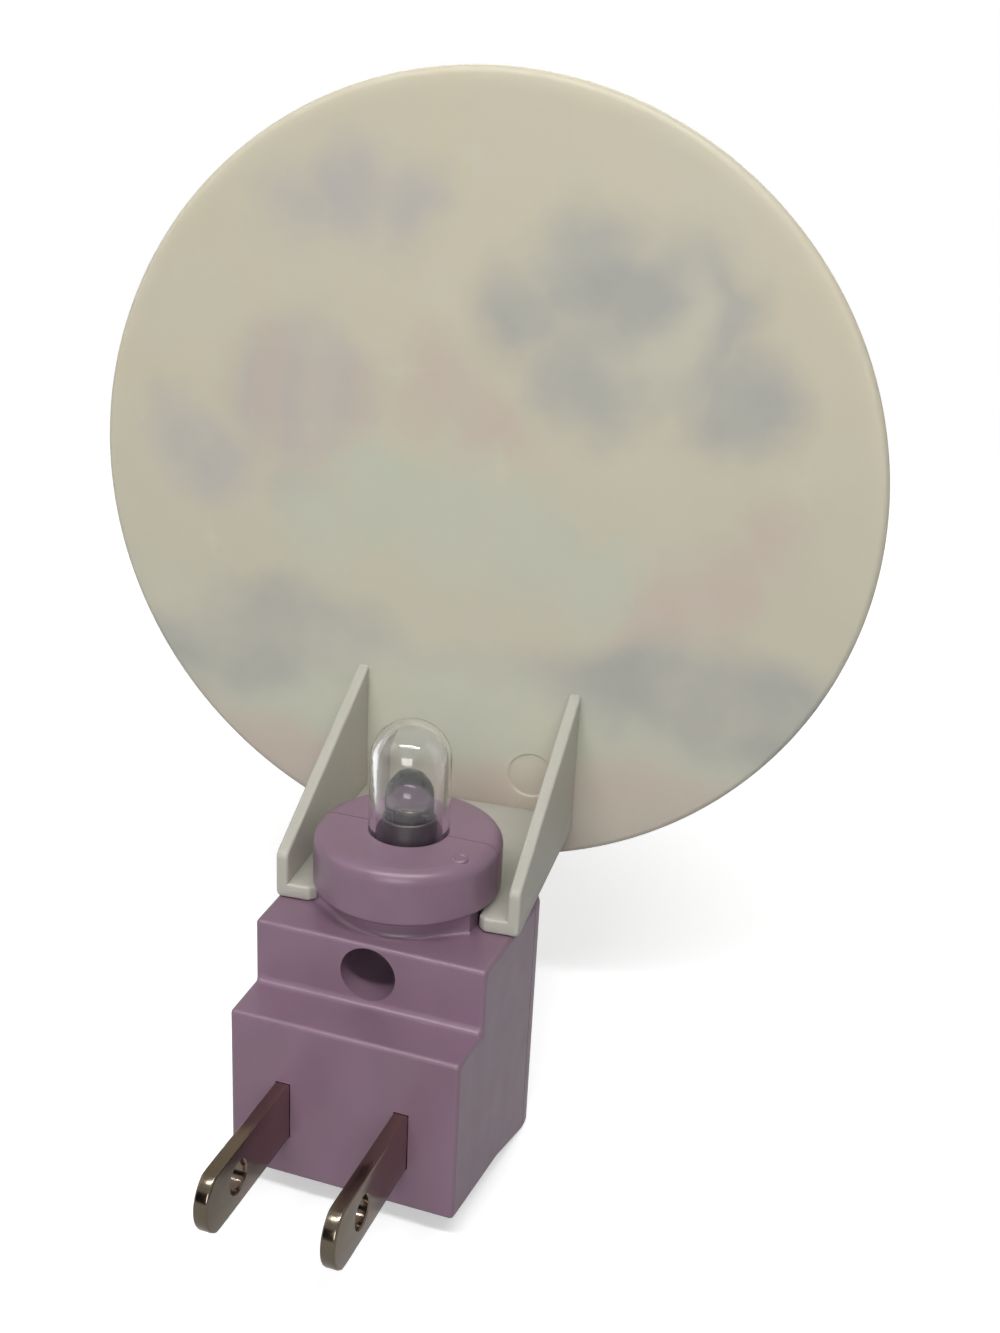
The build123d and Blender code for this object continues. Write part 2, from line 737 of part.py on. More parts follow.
def rectifier_diodes():
    """The four diodes of the rectifier bridge, side by side."""
    axis_y = board_front_y - component_lift - diode_radius
    half = diode_length / 2
    pieces = []
    for x in diode_columns:
        diode = rod_z(x, axis_y, diode_z - half, diode_z + half, diode_radius)
        pieces.append(chamfer(diode.edges().filter_by(GeomType.CIRCLE), diode_edge_bevel))
    return Compound(pieces)


def smoothing_capacitor():
    """The electrolytic capacitor, standing out from the board, with its crimp and its scored end."""
    end_y = capacitor_base_y - capacitor_height
    can = rod_y(capacitor_shift, capacitor_z, capacitor_base_y, end_y, capacitor_radius)
    can = fillet(can.edges().filter_by(GeomType.CIRCLE), capacitor_edge_round)
    crimp = Rot(90, 0, 0) * Torus(capacitor_radius + capacitor_crimp_depth, 2 * capacitor_crimp_depth)
    can -= Pos(capacitor_shift, capacitor_base_y - capacitor_crimp_height, capacitor_z) * crimp
    for turn in (0, 90):
        score = Rot(0, turn, 0) * Box(capacitor_score_length, capacitor_score_width, capacitor_score_width)
        can -= Pos(capacitor_shift, end_y, capacitor_z) * score
    return can


def solder_joints():
    """A cone of solder round every lead, on the board's rear face."""
    end_y = board_rear_y + solder_height
    cone = Rot(-90, 0, 0) * Cone(solder_radius, solder_top_radius, solder_height)
    pieces = []
    for x, z in board_holes:
        joint = Pos(x, (board_rear_y + end_y) / 2, z) * cone
        pieces.append(joint - rod_y(x, z, board_rear_y, end_y, component_lead_radius))
    return Compound(pieces)


def blade_wire(side):
    """An insulated wire from the hole in one blade's tail to the board, stripped at both ends."""
    inner_x = side * (blade_spacing / 2 - blade_thickness / 2 - wire_overhang)
    x = side * wire_x
    corner = (x, tail_hole_y, wire_rise)
    board_end = (x, board_front_y - wire_overhang, wire_rise)
    core = [(inner_x, tail_hole_y, 0), (x, tail_hole_y, 0), corner, board_end]
    cut_end = (x, board_rear_y + solder_height + wire_strip, wire_rise)
    insulation = [(x, tail_hole_y, wire_strip), corner, cut_end]
    wire = wire_along(core, wire_bend_radius, wire_core_radius)
    return wire + wire_along(insulation, wire_bend_radius, wire_radius)


# ---- Shade ----
def swivelled(shape):
    """Turns a piece of the shade about the neck, onto its left stop."""
    return shape.rotate(Axis((0, neck_y, 0), (0, 0, 1)), swivel_half_angle)


def fork_opening():
    """The opening in the bracket's floor: a round bearing for the neck, then straight arms past the lugs."""
    ramp_y = neck_y + fork_ramp
    mouth_y = -bracket_rear_depth
    left = [
        (fork_mouth_half, 0),
        (fork_mouth_half, mouth_y),
        (fork_half_width, mouth_y - fork_lead_in),
        (fork_half_width, ramp_y),
        (fork_bore_radius, neck_y),
    ]
    right = [(-x, y) for x, y in reversed(left)]
    between = make_face(Polyline(*left, *right, close=True))
    bearing = rod_z(0, neck_y, 0, far, fork_bore_radius)
    return extrude(between, amount=far) + bearing


def shade_ribs():
    """The two triangular ribs between the bracket's floor and the disc."""
    rear_y = -bracket_rear_depth
    outline = make_face(
        Polyline(
            (rear_y, fork_floor_z),
            (rear_y, fork_floor_z + rib_rear_height),
            (shade_back_y, fork_floor_z + rib_disc_height),
            (shade_back_y, fork_floor_z),
            close=True,
        )
    )
    inner_x = bracket_width / 2 - rib_thickness
    return both_sides(Pos(inner_x, 0, 0) * extrude(Plane.YZ * outline, amount=rib_thickness))


def shade():
    """The moulded shade: a translucent disc, its two ribs and the fork that goes round the neck."""
    disc = rod_y(0, shade_centre_z, shade_back_y, shade_front_y, shade_radius)
    disc = fillet(disc.edges().filter_by(GeomType.CIRCLE), shade_edge_round)
    mark_end_y = shade_back_y - ejector_mark_depth
    disc -= rod_y(ejector_mark_x, ejector_mark_z, shade_back_y, mark_end_y, ejector_mark_radius)
    half = bracket_width / 2
    floor = block((-half, shade_back_y, fork_floor_z), (half, -bracket_rear_depth, fork_top_z))
    bracket = floor + shade_ribs() - fork_opening()
    return swivelled(disc + bracket)


def picture_film():
    """The printed picture film on the front of the disc."""
    film = rod_y(0, shade_centre_z, shade_front_y, shade_front_y - film_thickness, film_radius)
    return swivelled(film)


os.makedirs("parts", exist_ok=True)
save(rear_housing(), "rear_housing")
save(front_cover(), "front_cover")
save(housing_screw(), "housing_screw")
save(blade(1), "blade_left")
save(blade(-1), "blade_right")
save(blade_retainer(), "blade_retainer")
save(lens_capsule(), "lens_capsule")
save(led_lens(), "led_lens")
save(led_cathode_lead(), "led_cathode_lead")
save(led_anode_lead(), "led_anode_lead")
save(led_chip(), "led_chip")
save(led_holder(), "led_holder")
save(led_spacer(), "led_spacer")
save(lead_sleeves(), "lead_sleeves")
save(circuit_board(), "circuit_board")
save(component_leads(), "component_leads")
save(dropper_resistors(), "dropper_resistors")
save(rectifier_diodes(), "rectifier_diodes")
save(smoothing_capacitor(), "smoothing_capacitor")
save(solder_joints(), "solder_joints")
save(blade_wire(1), "wire_left")
save(blade_wire(-1), "wire_right")
save(shade(), "shade")
save(picture_film(), "picture_film")
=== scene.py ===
"""A plug-in night light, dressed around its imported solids.

The origin is on the plug's rear face, midway between the two blades. +Z is up and +Y points into the wall
outlet. Sizes are in millimetres, and a mesh is scaled to metres as it is made. The shade's own frame is the
plug's, turned about the neck by the swivel's half angle.
"""

import logging
import math
from dataclasses import dataclass
from enum import Enum
from types import MappingProxyType
from typing import Mapping, Sequence, Union

import bmesh
import bpy
import numpy as np
from mathutils import Matrix, Vector


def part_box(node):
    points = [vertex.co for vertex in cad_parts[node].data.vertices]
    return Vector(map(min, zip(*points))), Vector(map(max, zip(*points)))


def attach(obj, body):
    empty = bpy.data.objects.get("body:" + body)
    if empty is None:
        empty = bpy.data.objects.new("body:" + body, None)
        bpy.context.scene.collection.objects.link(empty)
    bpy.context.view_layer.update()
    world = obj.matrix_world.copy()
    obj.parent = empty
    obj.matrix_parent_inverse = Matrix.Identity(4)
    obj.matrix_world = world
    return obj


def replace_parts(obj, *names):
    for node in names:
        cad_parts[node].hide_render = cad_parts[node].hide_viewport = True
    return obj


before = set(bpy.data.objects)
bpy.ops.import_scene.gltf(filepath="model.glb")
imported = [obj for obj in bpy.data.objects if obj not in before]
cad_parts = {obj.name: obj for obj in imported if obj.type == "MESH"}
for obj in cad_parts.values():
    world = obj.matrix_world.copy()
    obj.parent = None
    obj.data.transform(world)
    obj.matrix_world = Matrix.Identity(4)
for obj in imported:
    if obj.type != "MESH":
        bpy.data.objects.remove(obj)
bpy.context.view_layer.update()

LOG = logging.getLogger("night_light")
MILLIMETRE = 0.001
NECK_Y = -16.0
NECK = np.array([0.0, NECK_Y, 0.0])
SWIVEL_HALF_ANGLE = 4.75
DISC_Z = 55.3
DISC_BACK_Y = -37.1
NOTHING: Mapping = MappingProxyType({})

Colour = tuple[float, float, float, float]
Point = tuple[float, float]
Feed = Union["Signal", float, Sequence[float]]


class Body(Enum):
    """The two bodies that pieces ride on."""

    PLUG = "plug_body"
    SHADE = "shade_body"


class Slot(Enum):
    """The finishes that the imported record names."""

    BODY_PLASTIC = "body_plastic"
    SHADE_PLASTIC = "shade_plastic"
    FILM = "film"
    BLADE_METAL = "blade_metal"
    CLEAR_PLASTIC = "clear_plastic"
    LED_EPOXY = "led_epoxy"
    LEAD_METAL = "lead_metal"
    CHIP = "chip"
    BLACK_PLASTIC = "black_plastic"
    SLEEVE = "sleeve"
    RETAINER = "retainer"
    SCREW_STEEL = "screw_steel"
    BOARD = "board"
    RESISTOR = "resistor"
    DIODE = "diode"
    CAPACITOR = "capacitor"
    SOLDER = "solder"
    WIRE = "wire"


def tint(red: float, green: float, blue: float) -> Colour:
    """Turns a screen colour into the linear colour that a shader takes.

    Args:
        red, green, blue: the colour's parts, from 0 to 255.

    Returns:
        The same colour in linear light, with an alpha of 1.
    """
    parts = np.array([red, green, blue]) / 255
    linear = np.where(parts <= 0.04045, parts / 12.92, ((parts + 0.055) / 1.055) ** 2.4)
    return (*linear.tolist(), 1.0)


def grey(level: float) -> Colour:
    """A neutral colour in linear light, black at 0 and white at 1."""
    return (level, level, level, 1.0)


def shown(name: str, data: bpy.types.ID) -> bpy.types.Object:
    """Makes an object of a mesh, light or camera and puts it into the scene."""
    obj = bpy.data.objects.new(name, data)
    bpy.context.scene.collection.objects.link(obj)
    return obj


# ---- Meshes ----
def cross(first: np.ndarray, second: np.ndarray) -> np.ndarray:
    """The cross product of plane vectors, row by row: positive where the second lies to the left."""
    return first[:, 0] * second[:, 1] - first[:, 1] * second[:, 0]


def raw_mesh(points: np.ndarray, faces: list, name: str) -> bpy.types.Mesh:
    """Makes a mesh in metres from points in millimetres and the corners of each face."""
    mesh = bpy.data.meshes.new(name)
    mesh.from_pydata((points.reshape(-1, 3) * MILLIMETRE).tolist(), [], faces)
    return mesh


def mesh_from(points: np.ndarray, faces: list[list[int]], name: str, sharp: float = 35.0) -> bpy.types.Mesh:
    """Makes a closed mesh with outward normals, merged where its points meet.

    Args:
        points: corners in millimetres, one to a row.
        faces: the corners of each face.
        name: the mesh's name.
        sharp: edges that turn by more than this many degrees stay sharp.

    Returns:
        The mesh, in metres.
    """
    mesh = raw_mesh(points, faces, name)
    shell = bmesh.new()
    shell.from_mesh(mesh)
    bmesh.ops.remove_doubles(shell, verts=shell.verts, dist=1e-4 * MILLIMETRE)
    bmesh.ops.dissolve_degenerate(shell, edges=shell.edges, dist=1e-5 * MILLIMETRE)
    bmesh.ops.recalc_face_normals(shell, faces=shell.faces)
    shell.to_mesh(mesh)
    shell.free()
    mesh.shade_smooth()
    mesh.set_sharp_from_angle(angle=math.radians(sharp))
    return mesh


def grid_faces(rows: int, columns: int, closed_rows: bool, closed_columns: bool) -> list[list[int]]:
    """Lists the four-sided faces of a grid of points.

    Args:
        rows, columns: the grid's size.
        closed_rows: whether the last row joins the first.
        closed_columns: whether the last column joins the first.

    Returns:
        The faces, as indices into the grid taken row by row.
    """
    index = np.arange(rows * columns).reshape(rows, columns)
    if closed_rows:
        index = np.vstack([index, index[:1]])
    if closed_columns:
        index = np.hstack([index, index[:, :1]])
    corners = [index[:-1, :-1], index[:-1, 1:], index[1:, 1:], index[1:, :-1]]
    return np.stack(corners, axis=-1).reshape(-1, 4).tolist()


def arc(centre: Point, radius: float, start: float, end: float, steps: int) -> np.ndarray:
    """Points at centre plus radius times the cosine and sine of an angle that runs evenly, in degrees."""
    angle = np.radians(np.linspace(start, end, steps + 1))
    return np.stack([centre[0] + radius * np.cos(angle), centre[1] + radius * np.sin(angle)], axis=-1)


def turned(profile: np.ndarray, segments: int) -> tuple[np.ndarray, list[list[int]]]:
    """Carries a profile of (radius, height) points round the Z axis.

    The point at height h and angle a lies at (radius cos a, radius sin a, h). Where the radius is nought the
    points of a row fall together, and the mesh merges them into one pole.

    Args:
        profile: the points, from one pole to the other, or a ring that closes on itself.
        segments: how many divisions go round.

    Returns:
        The points as (rows, segments, 3), and the faces between them.
    """
    angle = np.linspace(0, 2 * np.pi, segments, endpoint=False)
    radius, height = profile[:, :1], profile[:, 1:]
    points = np.stack([radius * np.cos(angle), radius * np.sin(angle), height + 0 * angle], axis=-1)
    closed = not (np.isclose(profile[0, 0], 0) and np.isclose(profile[-1, 0], 0))
    return points, grid_faces(len(profile), segments, closed, True)


def strip(points: np.ndarray) -> tuple[np.ndarray, list[list[int]]]:
    """Closes a swept strip: its section runs round on itself, and each end has a cap.

    Args:
        points: the strip as (section, path, 3).

    Returns:
        The same points, and the faces between them.
    """
    rows, columns = points.shape[:2]
    index = np.arange(rows * columns).reshape(rows, columns)
    return points, grid_faces(rows, columns, True, False) + [index[:, 0].tolist(), index[:, -1].tolist()]


def rounded_corners(corners: Sequence[Point], radii: Sequence[float], steps: int) -> np.ndarray:
    """Rounds the corners of a closed outline with arcs that touch both of a corner's sides.

    A corner between unit directions d (in) and e (out) turns by an angle t. Its arc starts r tan(t / 2)
    before the corner and ends as far past it, and a point of the arc is the start plus r (sin a) d plus
    r (1 - cos a) towards the inside of the turn.

    Args:
        corners: the outline's corners in order.
        radii: the radius at each corner, 0 for a sharp one.
        steps: how many runs each arc is divided into.

    Returns:
        The outline's points, one to a row.
    """
    points = np.array(corners, float)
    before = points - np.roll(points, 1, axis=0)
    before /= np.linalg.norm(before, axis=1, keepdims=True)
    after = np.roll(before, -1, axis=0)
    turn = np.arctan2(cross(before, after), np.sum(before * after, axis=1))
    runs = []
    for corner, direction, angle, radius in zip(points, before, turn, radii):
        if radius == 0:
            runs.append(corner[None])
            continue
        reach = radius * np.tan(abs(angle) / 2)
        inward = np.sign(angle) * np.array([-direction[1], direction[0]])
        sweep = np.linspace(0, abs(angle), steps + 1)[:, None]
        bend = np.sin(sweep) * direction + (1 - np.cos(sweep)) * inward
        runs.append(corner - reach * direction + radius * bend)
    return np.vstack(runs)


def slab(
    outline: np.ndarray, low: float, high: float, edge: Union[float, np.ndarray], steps: int = 4
) -> tuple[np.ndarray, list]:
    """Raises an outline into a plate whose rims are rounded all round.

    A ring of the rim at angle a is the outline moved inwards by edge (1 - cos a), at edge (1 - sin a) from
    the face. A corner moves along the middle of its two sides' normals, far enough to keep both sides
    parallel.

    Args:
        outline: the plate's outline, one point to a row.
        low, high: the heights of its two faces.
        edge: the radius of its rims, or one radius for each point of the outline.
        steps: how many runs each rim is divided into.

    Returns:
        The points as (rings, outline, 3), and the faces between them with a cap at each end.
    """
    along = np.roll(outline, -1, axis=0) - outline
    normal = np.stack([along[:, 1], -along[:, 0]], axis=-1)
    normal /= np.linalg.norm(normal, axis=1, keepdims=True)
    normal *= np.sign(np.sum(cross(outline, np.roll(outline, -1, axis=0))))
    previous = np.roll(normal, 1, axis=0)
    mitre = (previous + normal) / (1 + np.sum(previous * normal, axis=1, keepdims=True))
    angle = np.linspace(np.pi / 2, 0, steps + 1)[:, None]
    radius = np.broadcast_to(edge, len(outline))
    inset = radius * (1 - np.cos(angle))
    height = radius * (1 - np.sin(angle))
    inset = np.concatenate([inset, inset[::-1]])
    height = np.concatenate([low + height, high - height[::-1]])
    plan = outline[None] - inset[..., None] * mitre[None]
    points = np.concatenate([plan, height[..., None]], axis=-1)
    rings, count = points.shape[:2]
    faces = grid_faces(rings, count, False, True)
    faces.append(list(range(count)))
    faces.append(list(range((rings - 1) * count, rings * count)))
    return points, faces


def swivelled(points: np.ndarray) -> np.ndarray:
    """Turns points of the shade's own frame about the neck, onto its left stop.

    Args:
        points: (x, y, z) in the shade's own frame.

    Returns:
        The same points in the plug's frame.
    """
    turn = math.radians(SWIVEL_HALF_ANGLE)
    x, y, z = points[..., 0], points[..., 1] - NECK_Y, points[..., 2]
    across = x * np.cos(turn) - y * np.sin(turn)
    along = x * np.sin(turn) + y * np.cos(turn) + NECK_Y
    return np.stack([across, along, z], axis=-1)


def joined(
    name: str, meshes: Sequence[bpy.types.Mesh], cuts: Sequence[bpy.types.Mesh] = (), sharp: float = 35.0
) -> bpy.types.Mesh:
    """Joins closed meshes into one skin and cuts others out of it.

    Args:
        name: the new mesh's name.
        meshes: the meshes, the first of which the others are added to.
        cuts: the meshes that are cut out.
        sharp: edges that turn by more than this many degrees stay sharp.

    Returns:
        The joined mesh.
    """
    first, *others = [shown(mesh.name, mesh) for mesh in (*meshes, *cuts)]
    for number, other in enumerate(others, start=1):
        step = first.modifiers.new("step", "BOOLEAN")
        step.operation = "UNION" if number < len(meshes) else "DIFFERENCE"
        step.solver, step.object = "EXACT", other
    bpy.context.view_layer.update()
    mesh = bpy.data.meshes.new_from_object(first.evaluated_get(bpy.context.evaluated_depsgraph_get()))
    for obj in (first, *others):
        bpy.data.objects.remove(obj)
    mesh.name = name
    mesh.shade_smooth()
    mesh.set_sharp_from_angle(angle=math.radians(sharp))
    return mesh


# ---- Shader maths ----
@dataclass(frozen=True)
class Signal:
    """A socket's value on its way through a material. Operators on it add Math nodes."""

    graph: "Graph"
    socket: bpy.types.NodeSocket

    def __add__(self, other: Feed) -> "Signal":
        """This value plus another."""
        return self.graph.maths("ADD", self, other)

    def __sub__(self, other: Feed) -> "Signal":
        """This value less another."""
        return self.graph.maths("SUBTRACT", self, other)

    def __rsub__(self, other: Feed) -> "Signal":
        """Another value less this one."""
        return self.graph.maths("SUBTRACT", other, self)

    def __mul__(self, other: Feed) -> "Signal":
        """This value times another."""
        return self.graph.maths("MULTIPLY", self, other)

    def __truediv__(self, other: Feed) -> "Signal":
        """This value divided by another."""
        return self.graph.maths("DIVIDE", self, other)

    def __pow__(self, other: Feed) -> "Signal":
        """This value to a power."""
        return self.graph.maths("POWER", self, other)

    def __abs__(self) -> "Signal":
        """The size of this value."""
        return self.graph.maths("ABSOLUTE", self)

    __radd__ = __add__
    __rmul__ = __mul__

    def over(self, other: Feed) -> "Signal":
        """The larger of this value and another."""
        return self.graph.maths("MAXIMUM", self, other)

    def about(self, middle: float, spread: float) -> "Signal":
        """Spreads a value from 0 to 1 evenly about a middle."""
        return self * spread + (middle - spread / 2)

    def rise(self, start: float, end: float) -> "Signal":
        """Goes smoothly from 0, where this value is start, to 1, where it is end."""
        inputs = {"Value": self, "From Min": start, "From Max": end}
        return self.graph.signal("ShaderNodeMapRange", inputs, {"interpolation_type": "SMOOTHSTEP"})


class Graph:
    """Makes the nodes of one material, or of the world."""

    def __init__(self, owner: Union[bpy.types.Material, bpy.types.World]) -> None:
        """Empties the owner's nodes.

        Args:
            owner: what the nodes belong to.
        """
        owner.use_nodes = True
        self.owner = owner
        self.tree = owner.node_tree
        self.tree.nodes.clear()

    @classmethod
    def named(cls, name: str) -> "Graph":
        """Starts a new material."""
        return cls(bpy.data.materials.new(name))

    def node(self, kind: str, inputs: Mapping = NOTHING, settings: Mapping = NOTHING) -> bpy.types.Node:
        """Adds a node: its settings first, then what goes into its sockets.

        Args:
            kind: the node's type.
            inputs: values or signals by socket name or number.
            settings: its properties by name.

        Returns:
            The node.
        """
        node = self.tree.nodes.new(kind)
        for name, value in settings.items():
            setattr(node, name, value)
        for name, value in inputs.items():
            if isinstance(value, Signal):
                self.tree.links.new(value.socket, node.inputs[name])
            else:
                node.inputs[name].default_value = value
        return node

    def signal(
        self, kind: str, inputs: Mapping = NOTHING, settings: Mapping = NOTHING, output: Union[int, str] = 0
    ) -> Signal:
        """Adds a node as the method above does, and gives the output of that number or name."""
        return Signal(self, self.node(kind, inputs, settings).outputs[output])

    def maths(self, operation: str, *values: Feed) -> Signal:
        """Adds a Math node on two values or one."""
        return self.signal("ShaderNodeMath", dict(enumerate(values)), {"operation": operation})

    def mix(self, first: Feed, second: Feed, factor: Feed) -> Signal:
        """Mixes two colours, of which the second shows by the factor."""
        return self.signal("ShaderNodeMix", {0: factor, 6: first, 7: second}, {"data_type": "RGBA"}, 2)

    def cover(self, first: Signal, second: Signal, factor: Feed) -> Signal:
        """Mixes two shaders, of which the second shows by the factor."""
        return self.signal("ShaderNodeMixShader", {0: factor, 1: first, 2: second})

    def place(self, swivelled_frame: bool = False) -> Signal:
        """Gives the point on the piece, in millimetres from the neck's axis.

        Args:
            swivelled_frame: whether the shade's own frame is meant, not the plug's.

        Returns:
            The point as a vector.
        """
        turn = math.radians(SWIVEL_HALF_ANGLE) if swivelled_frame else 0.0
        inputs = {
            "Vector": self.signal("ShaderNodeTexCoord", output="Object"),
            "Location": (0, NECK_Y * MILLIMETRE, 0),
            "Rotation": (0, 0, turn),
            "Scale": (MILLIMETRE,) * 3,
        }
        return self.signal("ShaderNodeMapping", inputs, {"vector_type": "TEXTURE"})

    def parts(self, vector: Signal) -> tuple[Signal, Signal, Signal]:
        """Splits a vector into its three parts."""
        return tuple(Signal(self, part) for part in self.node("ShaderNodeSeparateXYZ", {0: vector}).outputs)

    def stretched(self, vector: Signal, factors: Sequence[float]) -> Signal:
        """Multiplies a vector's parts, so that a pattern on it is drawn out along some of them."""
        return self.signal("ShaderNodeVectorMath", {0: vector, 1: factors}, {"operation": "MULTIPLY"})

    def noise(self, vector: Signal, size: float, detail: float = 2.0, rough: float = 0.5) -> Signal:
        """Soft noise from 0 to 1: its blotches' size in millimetres, finer layers, and their strength."""
        inputs = {"Vector": vector, "Scale": 1 / size, "Detail": detail, "Roughness": rough}
        return self.signal("ShaderNodeTexNoise", inputs)

    def specks(self, vector: Signal, spacing: float, radius: float, share: float) -> Signal:
        """Scatters small round specks.

        Args:
            vector: the point, in millimetres.
            spacing: the size of the cells, each of which may hold one speck.
            radius: a speck's radius in millimetres.
            share: the share of the cells that hold one.

        Returns:
            A mask that is 1 on a speck.
        """
        cells = self.node("ShaderNodeTexVoronoi", {"Vector": vector, "Scale": 1 / spacing}).outputs
        near = 1 - Signal(self, cells["Distance"]).rise(0.6 * radius / spacing, radius / spacing)
        pick = self.parts(Signal(self, cells["Color"]))[0]
        return near * (1 - pick.rise(share, share + 0.01))

    def bump(self, height: Signal, depth: float, under: Union[Signal, None] = None) -> Signal:
        """Turns a height into a normal.

        Args:
            height: the height, from 0 to 1.
            depth: what a height of 1 is, in millimetres.
            under: a normal that this one is laid on.

        Returns:
            The normal.
        """
        inputs = {"Height": height, "Distance": depth * MILLIMETRE, "Strength": 1.0}
        if under is not None:
            inputs["Normal"] = under
        return self.signal("ShaderNodeBump", inputs)

    def close(self, shader: Signal) -> Union[bpy.types.Material, bpy.types.World]:
        """Sends a shader to the owner's output, and gives the owner."""
        kind = "World" if isinstance(self.owner, bpy.types.World) else "Material"
        self.node("ShaderNodeOutput" + kind, {"Surface": shader})
        return self.owner


# ---- The printed picture ----
@dataclass(frozen=True)
class Inks:
    """The colours that the night picture is printed in, and how soft its outlines are, in millimetres."""

    sky_high: Colour
    sky_low: Colour
    slate: Colour
    sage: Colour
    rose: Colour
    cream: Colour
    lilac: Colour
    softness: float


@dataclass(frozen=True)
class NightPicture:
    """A generic night scene: a crescent over a slate cloud, a balloon, banks of cloud, stars and three hills.

    Places are (across, up) from the disc's centre, in millimetres, in the shade's own frame.
    """

    inks: Inks
    night: tuple = ((-20, 20, 8.0), (-11, 24, 6.4), (-27, 12, 5.6), (-12, 14, 6.6), (-4, 20, 4.6))
    moon: tuple = (-17, 20, 6.6)
    shadow: tuple = (-14.2, 21.8, 5.6)
    balloon: tuple = (20, 9, 8.2)
    bank: tuple = ((3, -3, 6.4), (11, -1, 5.4), (-6, -5, 6.0), (-14, -8, 4.6), (18, -5, 4.4))
    blush: tuple = ((-26, -7, 5.4), (-32, -2, 4.2), (-21, -12, 5.0), (4, 11, 4.6), (-1, 8, 3.8))
    wisps: tuple = ((9, 29, 3.8), (14.5, 30.5, 4.8), (20.4, 28.6, 3.6), (34, 3, 3.4), (30, 0, 4.0))
    stars: tuple = (
        (1, 34, 2.2), (5, 21, 2.4), (-35, 6, 1.8), (31, 20, 2.1), (9, 12, 1.6), (30, -9, 1.7), (-2, 2, 1.5)
    )
    hills: tuple = ((-17, 3.2, 46, 9), (-23, 3.6, 62, -14), (-31, 2.4, 50, 20))

    def spot(self, across: Signal, up: Signal, place: tuple) -> Signal:
        """A round spot: 1 where the distance to its centre is under its radius.

        Args:
            across, up: the point.
            place: the spot's centre and radius.

        Returns:
            The mask.
        """
        x, z, radius = place
        distance = ((across - x) ** 2 + (up - z) ** 2) ** 0.5
        return 1 - distance.rise(radius - self.inks.softness, radius + self.inks.softness)

    def spots(self, across: Signal, up: Signal, places: Sequence[tuple]) -> Signal:
        """Several spots that flow together: the largest of their masks."""
        mask = self.spot(across, up, places[0])
        for place in places[1:]:
            mask = mask.over(self.spot(across, up, place))
        return mask

    def star(self, across: Signal, up: Signal, place: tuple) -> Signal:
        """A four-pointed star: 1 where the roots of its two offsets add up to less than its radius's root.

        Args:
            across, up: the point.
            place: the star's centre and radius.

        Returns:
            The mask.
        """
        x, z, radius = place
        reach = abs(across - x) ** 0.5 + abs(up - z) ** 0.5
        soft = self.inks.softness / (2 * radius**0.5)
        return 1 - reach.rise(radius**0.5 - soft, radius**0.5 + soft)

    def hill(self, across: Signal, up: Signal, line: tuple) -> Signal:
        """A hill: 1 below a sine line.

        Args:
            across, up: the point.
            line: its middle height, how far it rises and falls, its wave's length and how far it is
                moved across.

        Returns:
            The mask.
        """
        crest, swell, length, shift = line
        wave = across.graph.maths("SINE", (across - shift) * (2 * math.pi / length)) * swell + crest
        return 1 - (up - wave).rise(-self.inks.softness, self.inks.softness)

    def paint(self, graph: Graph, across: Signal, up: Signal) -> Signal:
        """Lays the picture's shapes over its sky.

        Args:
            graph: the material's nodes.
            across, up: the point.

        Returns:
            The picture's colour.
        """
        inks = self.inks
        crescent = self.spot(across, up, self.moon) * (1 - self.spot(across, up, self.shadow))
        x, z, radius = self.balloon
        reach = inks.softness + 0.3
        panels = graph.maths("SINE", (across - x) * (2 * math.pi / (0.62 * radius))).rise(-reach, reach)
        basket = (x, z - 1.4 * radius, 0.24 * radius)
        layers = [
            (inks.slate, self.spots(across, up, self.night)),
            (inks.cream, crescent),
            (inks.rose, self.spots(across, up, self.blush)),
            (inks.lilac, self.spots(across, up, self.wisps)),
            (graph.mix(inks.rose, inks.lilac, panels), self.spot(across, up, self.balloon)),
            (inks.slate, self.spot(across, up, basket)),
            (inks.sage, self.spots(across, up, self.bank)),
        ]
        layers += [(inks.cream, self.star(across, up, place)) for place in self.stars]
        slopes = zip((inks.slate, inks.sage, inks.rose), self.hills)
        layers += [(ink, self.hill(across, up, line)) for ink, line in slopes]
        colour = graph.mix(inks.sky_low, inks.sky_high, up.rise(-28, 26))
        for ink, mask in layers:
            colour = graph.mix(colour, ink, mask)
        return colour


# ---- Finishes ----
class Finish:
    """A finish, whose material is named for its slot."""

    slot: Slot

    def material(self) -> bpy.types.Material:
        """Makes the material: a Principled shader with what the finish sends into it."""
        graph = Graph.named(self.slot.value)
        return graph.close(self.shader(graph, graph.signal("ShaderNodeBsdfPrincipled", self.sockets(graph))))

    def shader(self, graph: Graph, principled: Signal) -> Signal:
        """What the surface shows: the Principled shader as it is, unless the finish adds to it."""
        return principled

    def sockets(self, graph: Graph) -> dict:
        """What goes into the shader's sockets, by name."""
        raise NotImplementedError


@dataclass(frozen=True)
class Stock(Finish):
    """A plain material with a little variation: the colour is blotched, and a fine grain stands on it."""

    slot: Slot
    nodes: tuple
    colour: Colour
    second: Colour
    roughness: float
    metallic: float = 0.0
    blotch: float = 1.2
    grain: float = 0.12
    depth: float = 0.004

    def sockets(self, graph: Graph) -> dict:
        """A blotched colour, and a grain in both the roughness and the normal."""
        point = graph.place()
        blotches = graph.noise(point, self.blotch, 3)
        grain = graph.noise(point, self.grain, 2)
        return {
            "Base Color": graph.mix(self.colour, self.second, blotches.rise(0.3, 0.7)),
            "Roughness": grain.about(self.roughness, 0.12),
            "Metallic": self.metallic,
            "Normal": graph.bump(grain, self.depth),
        }


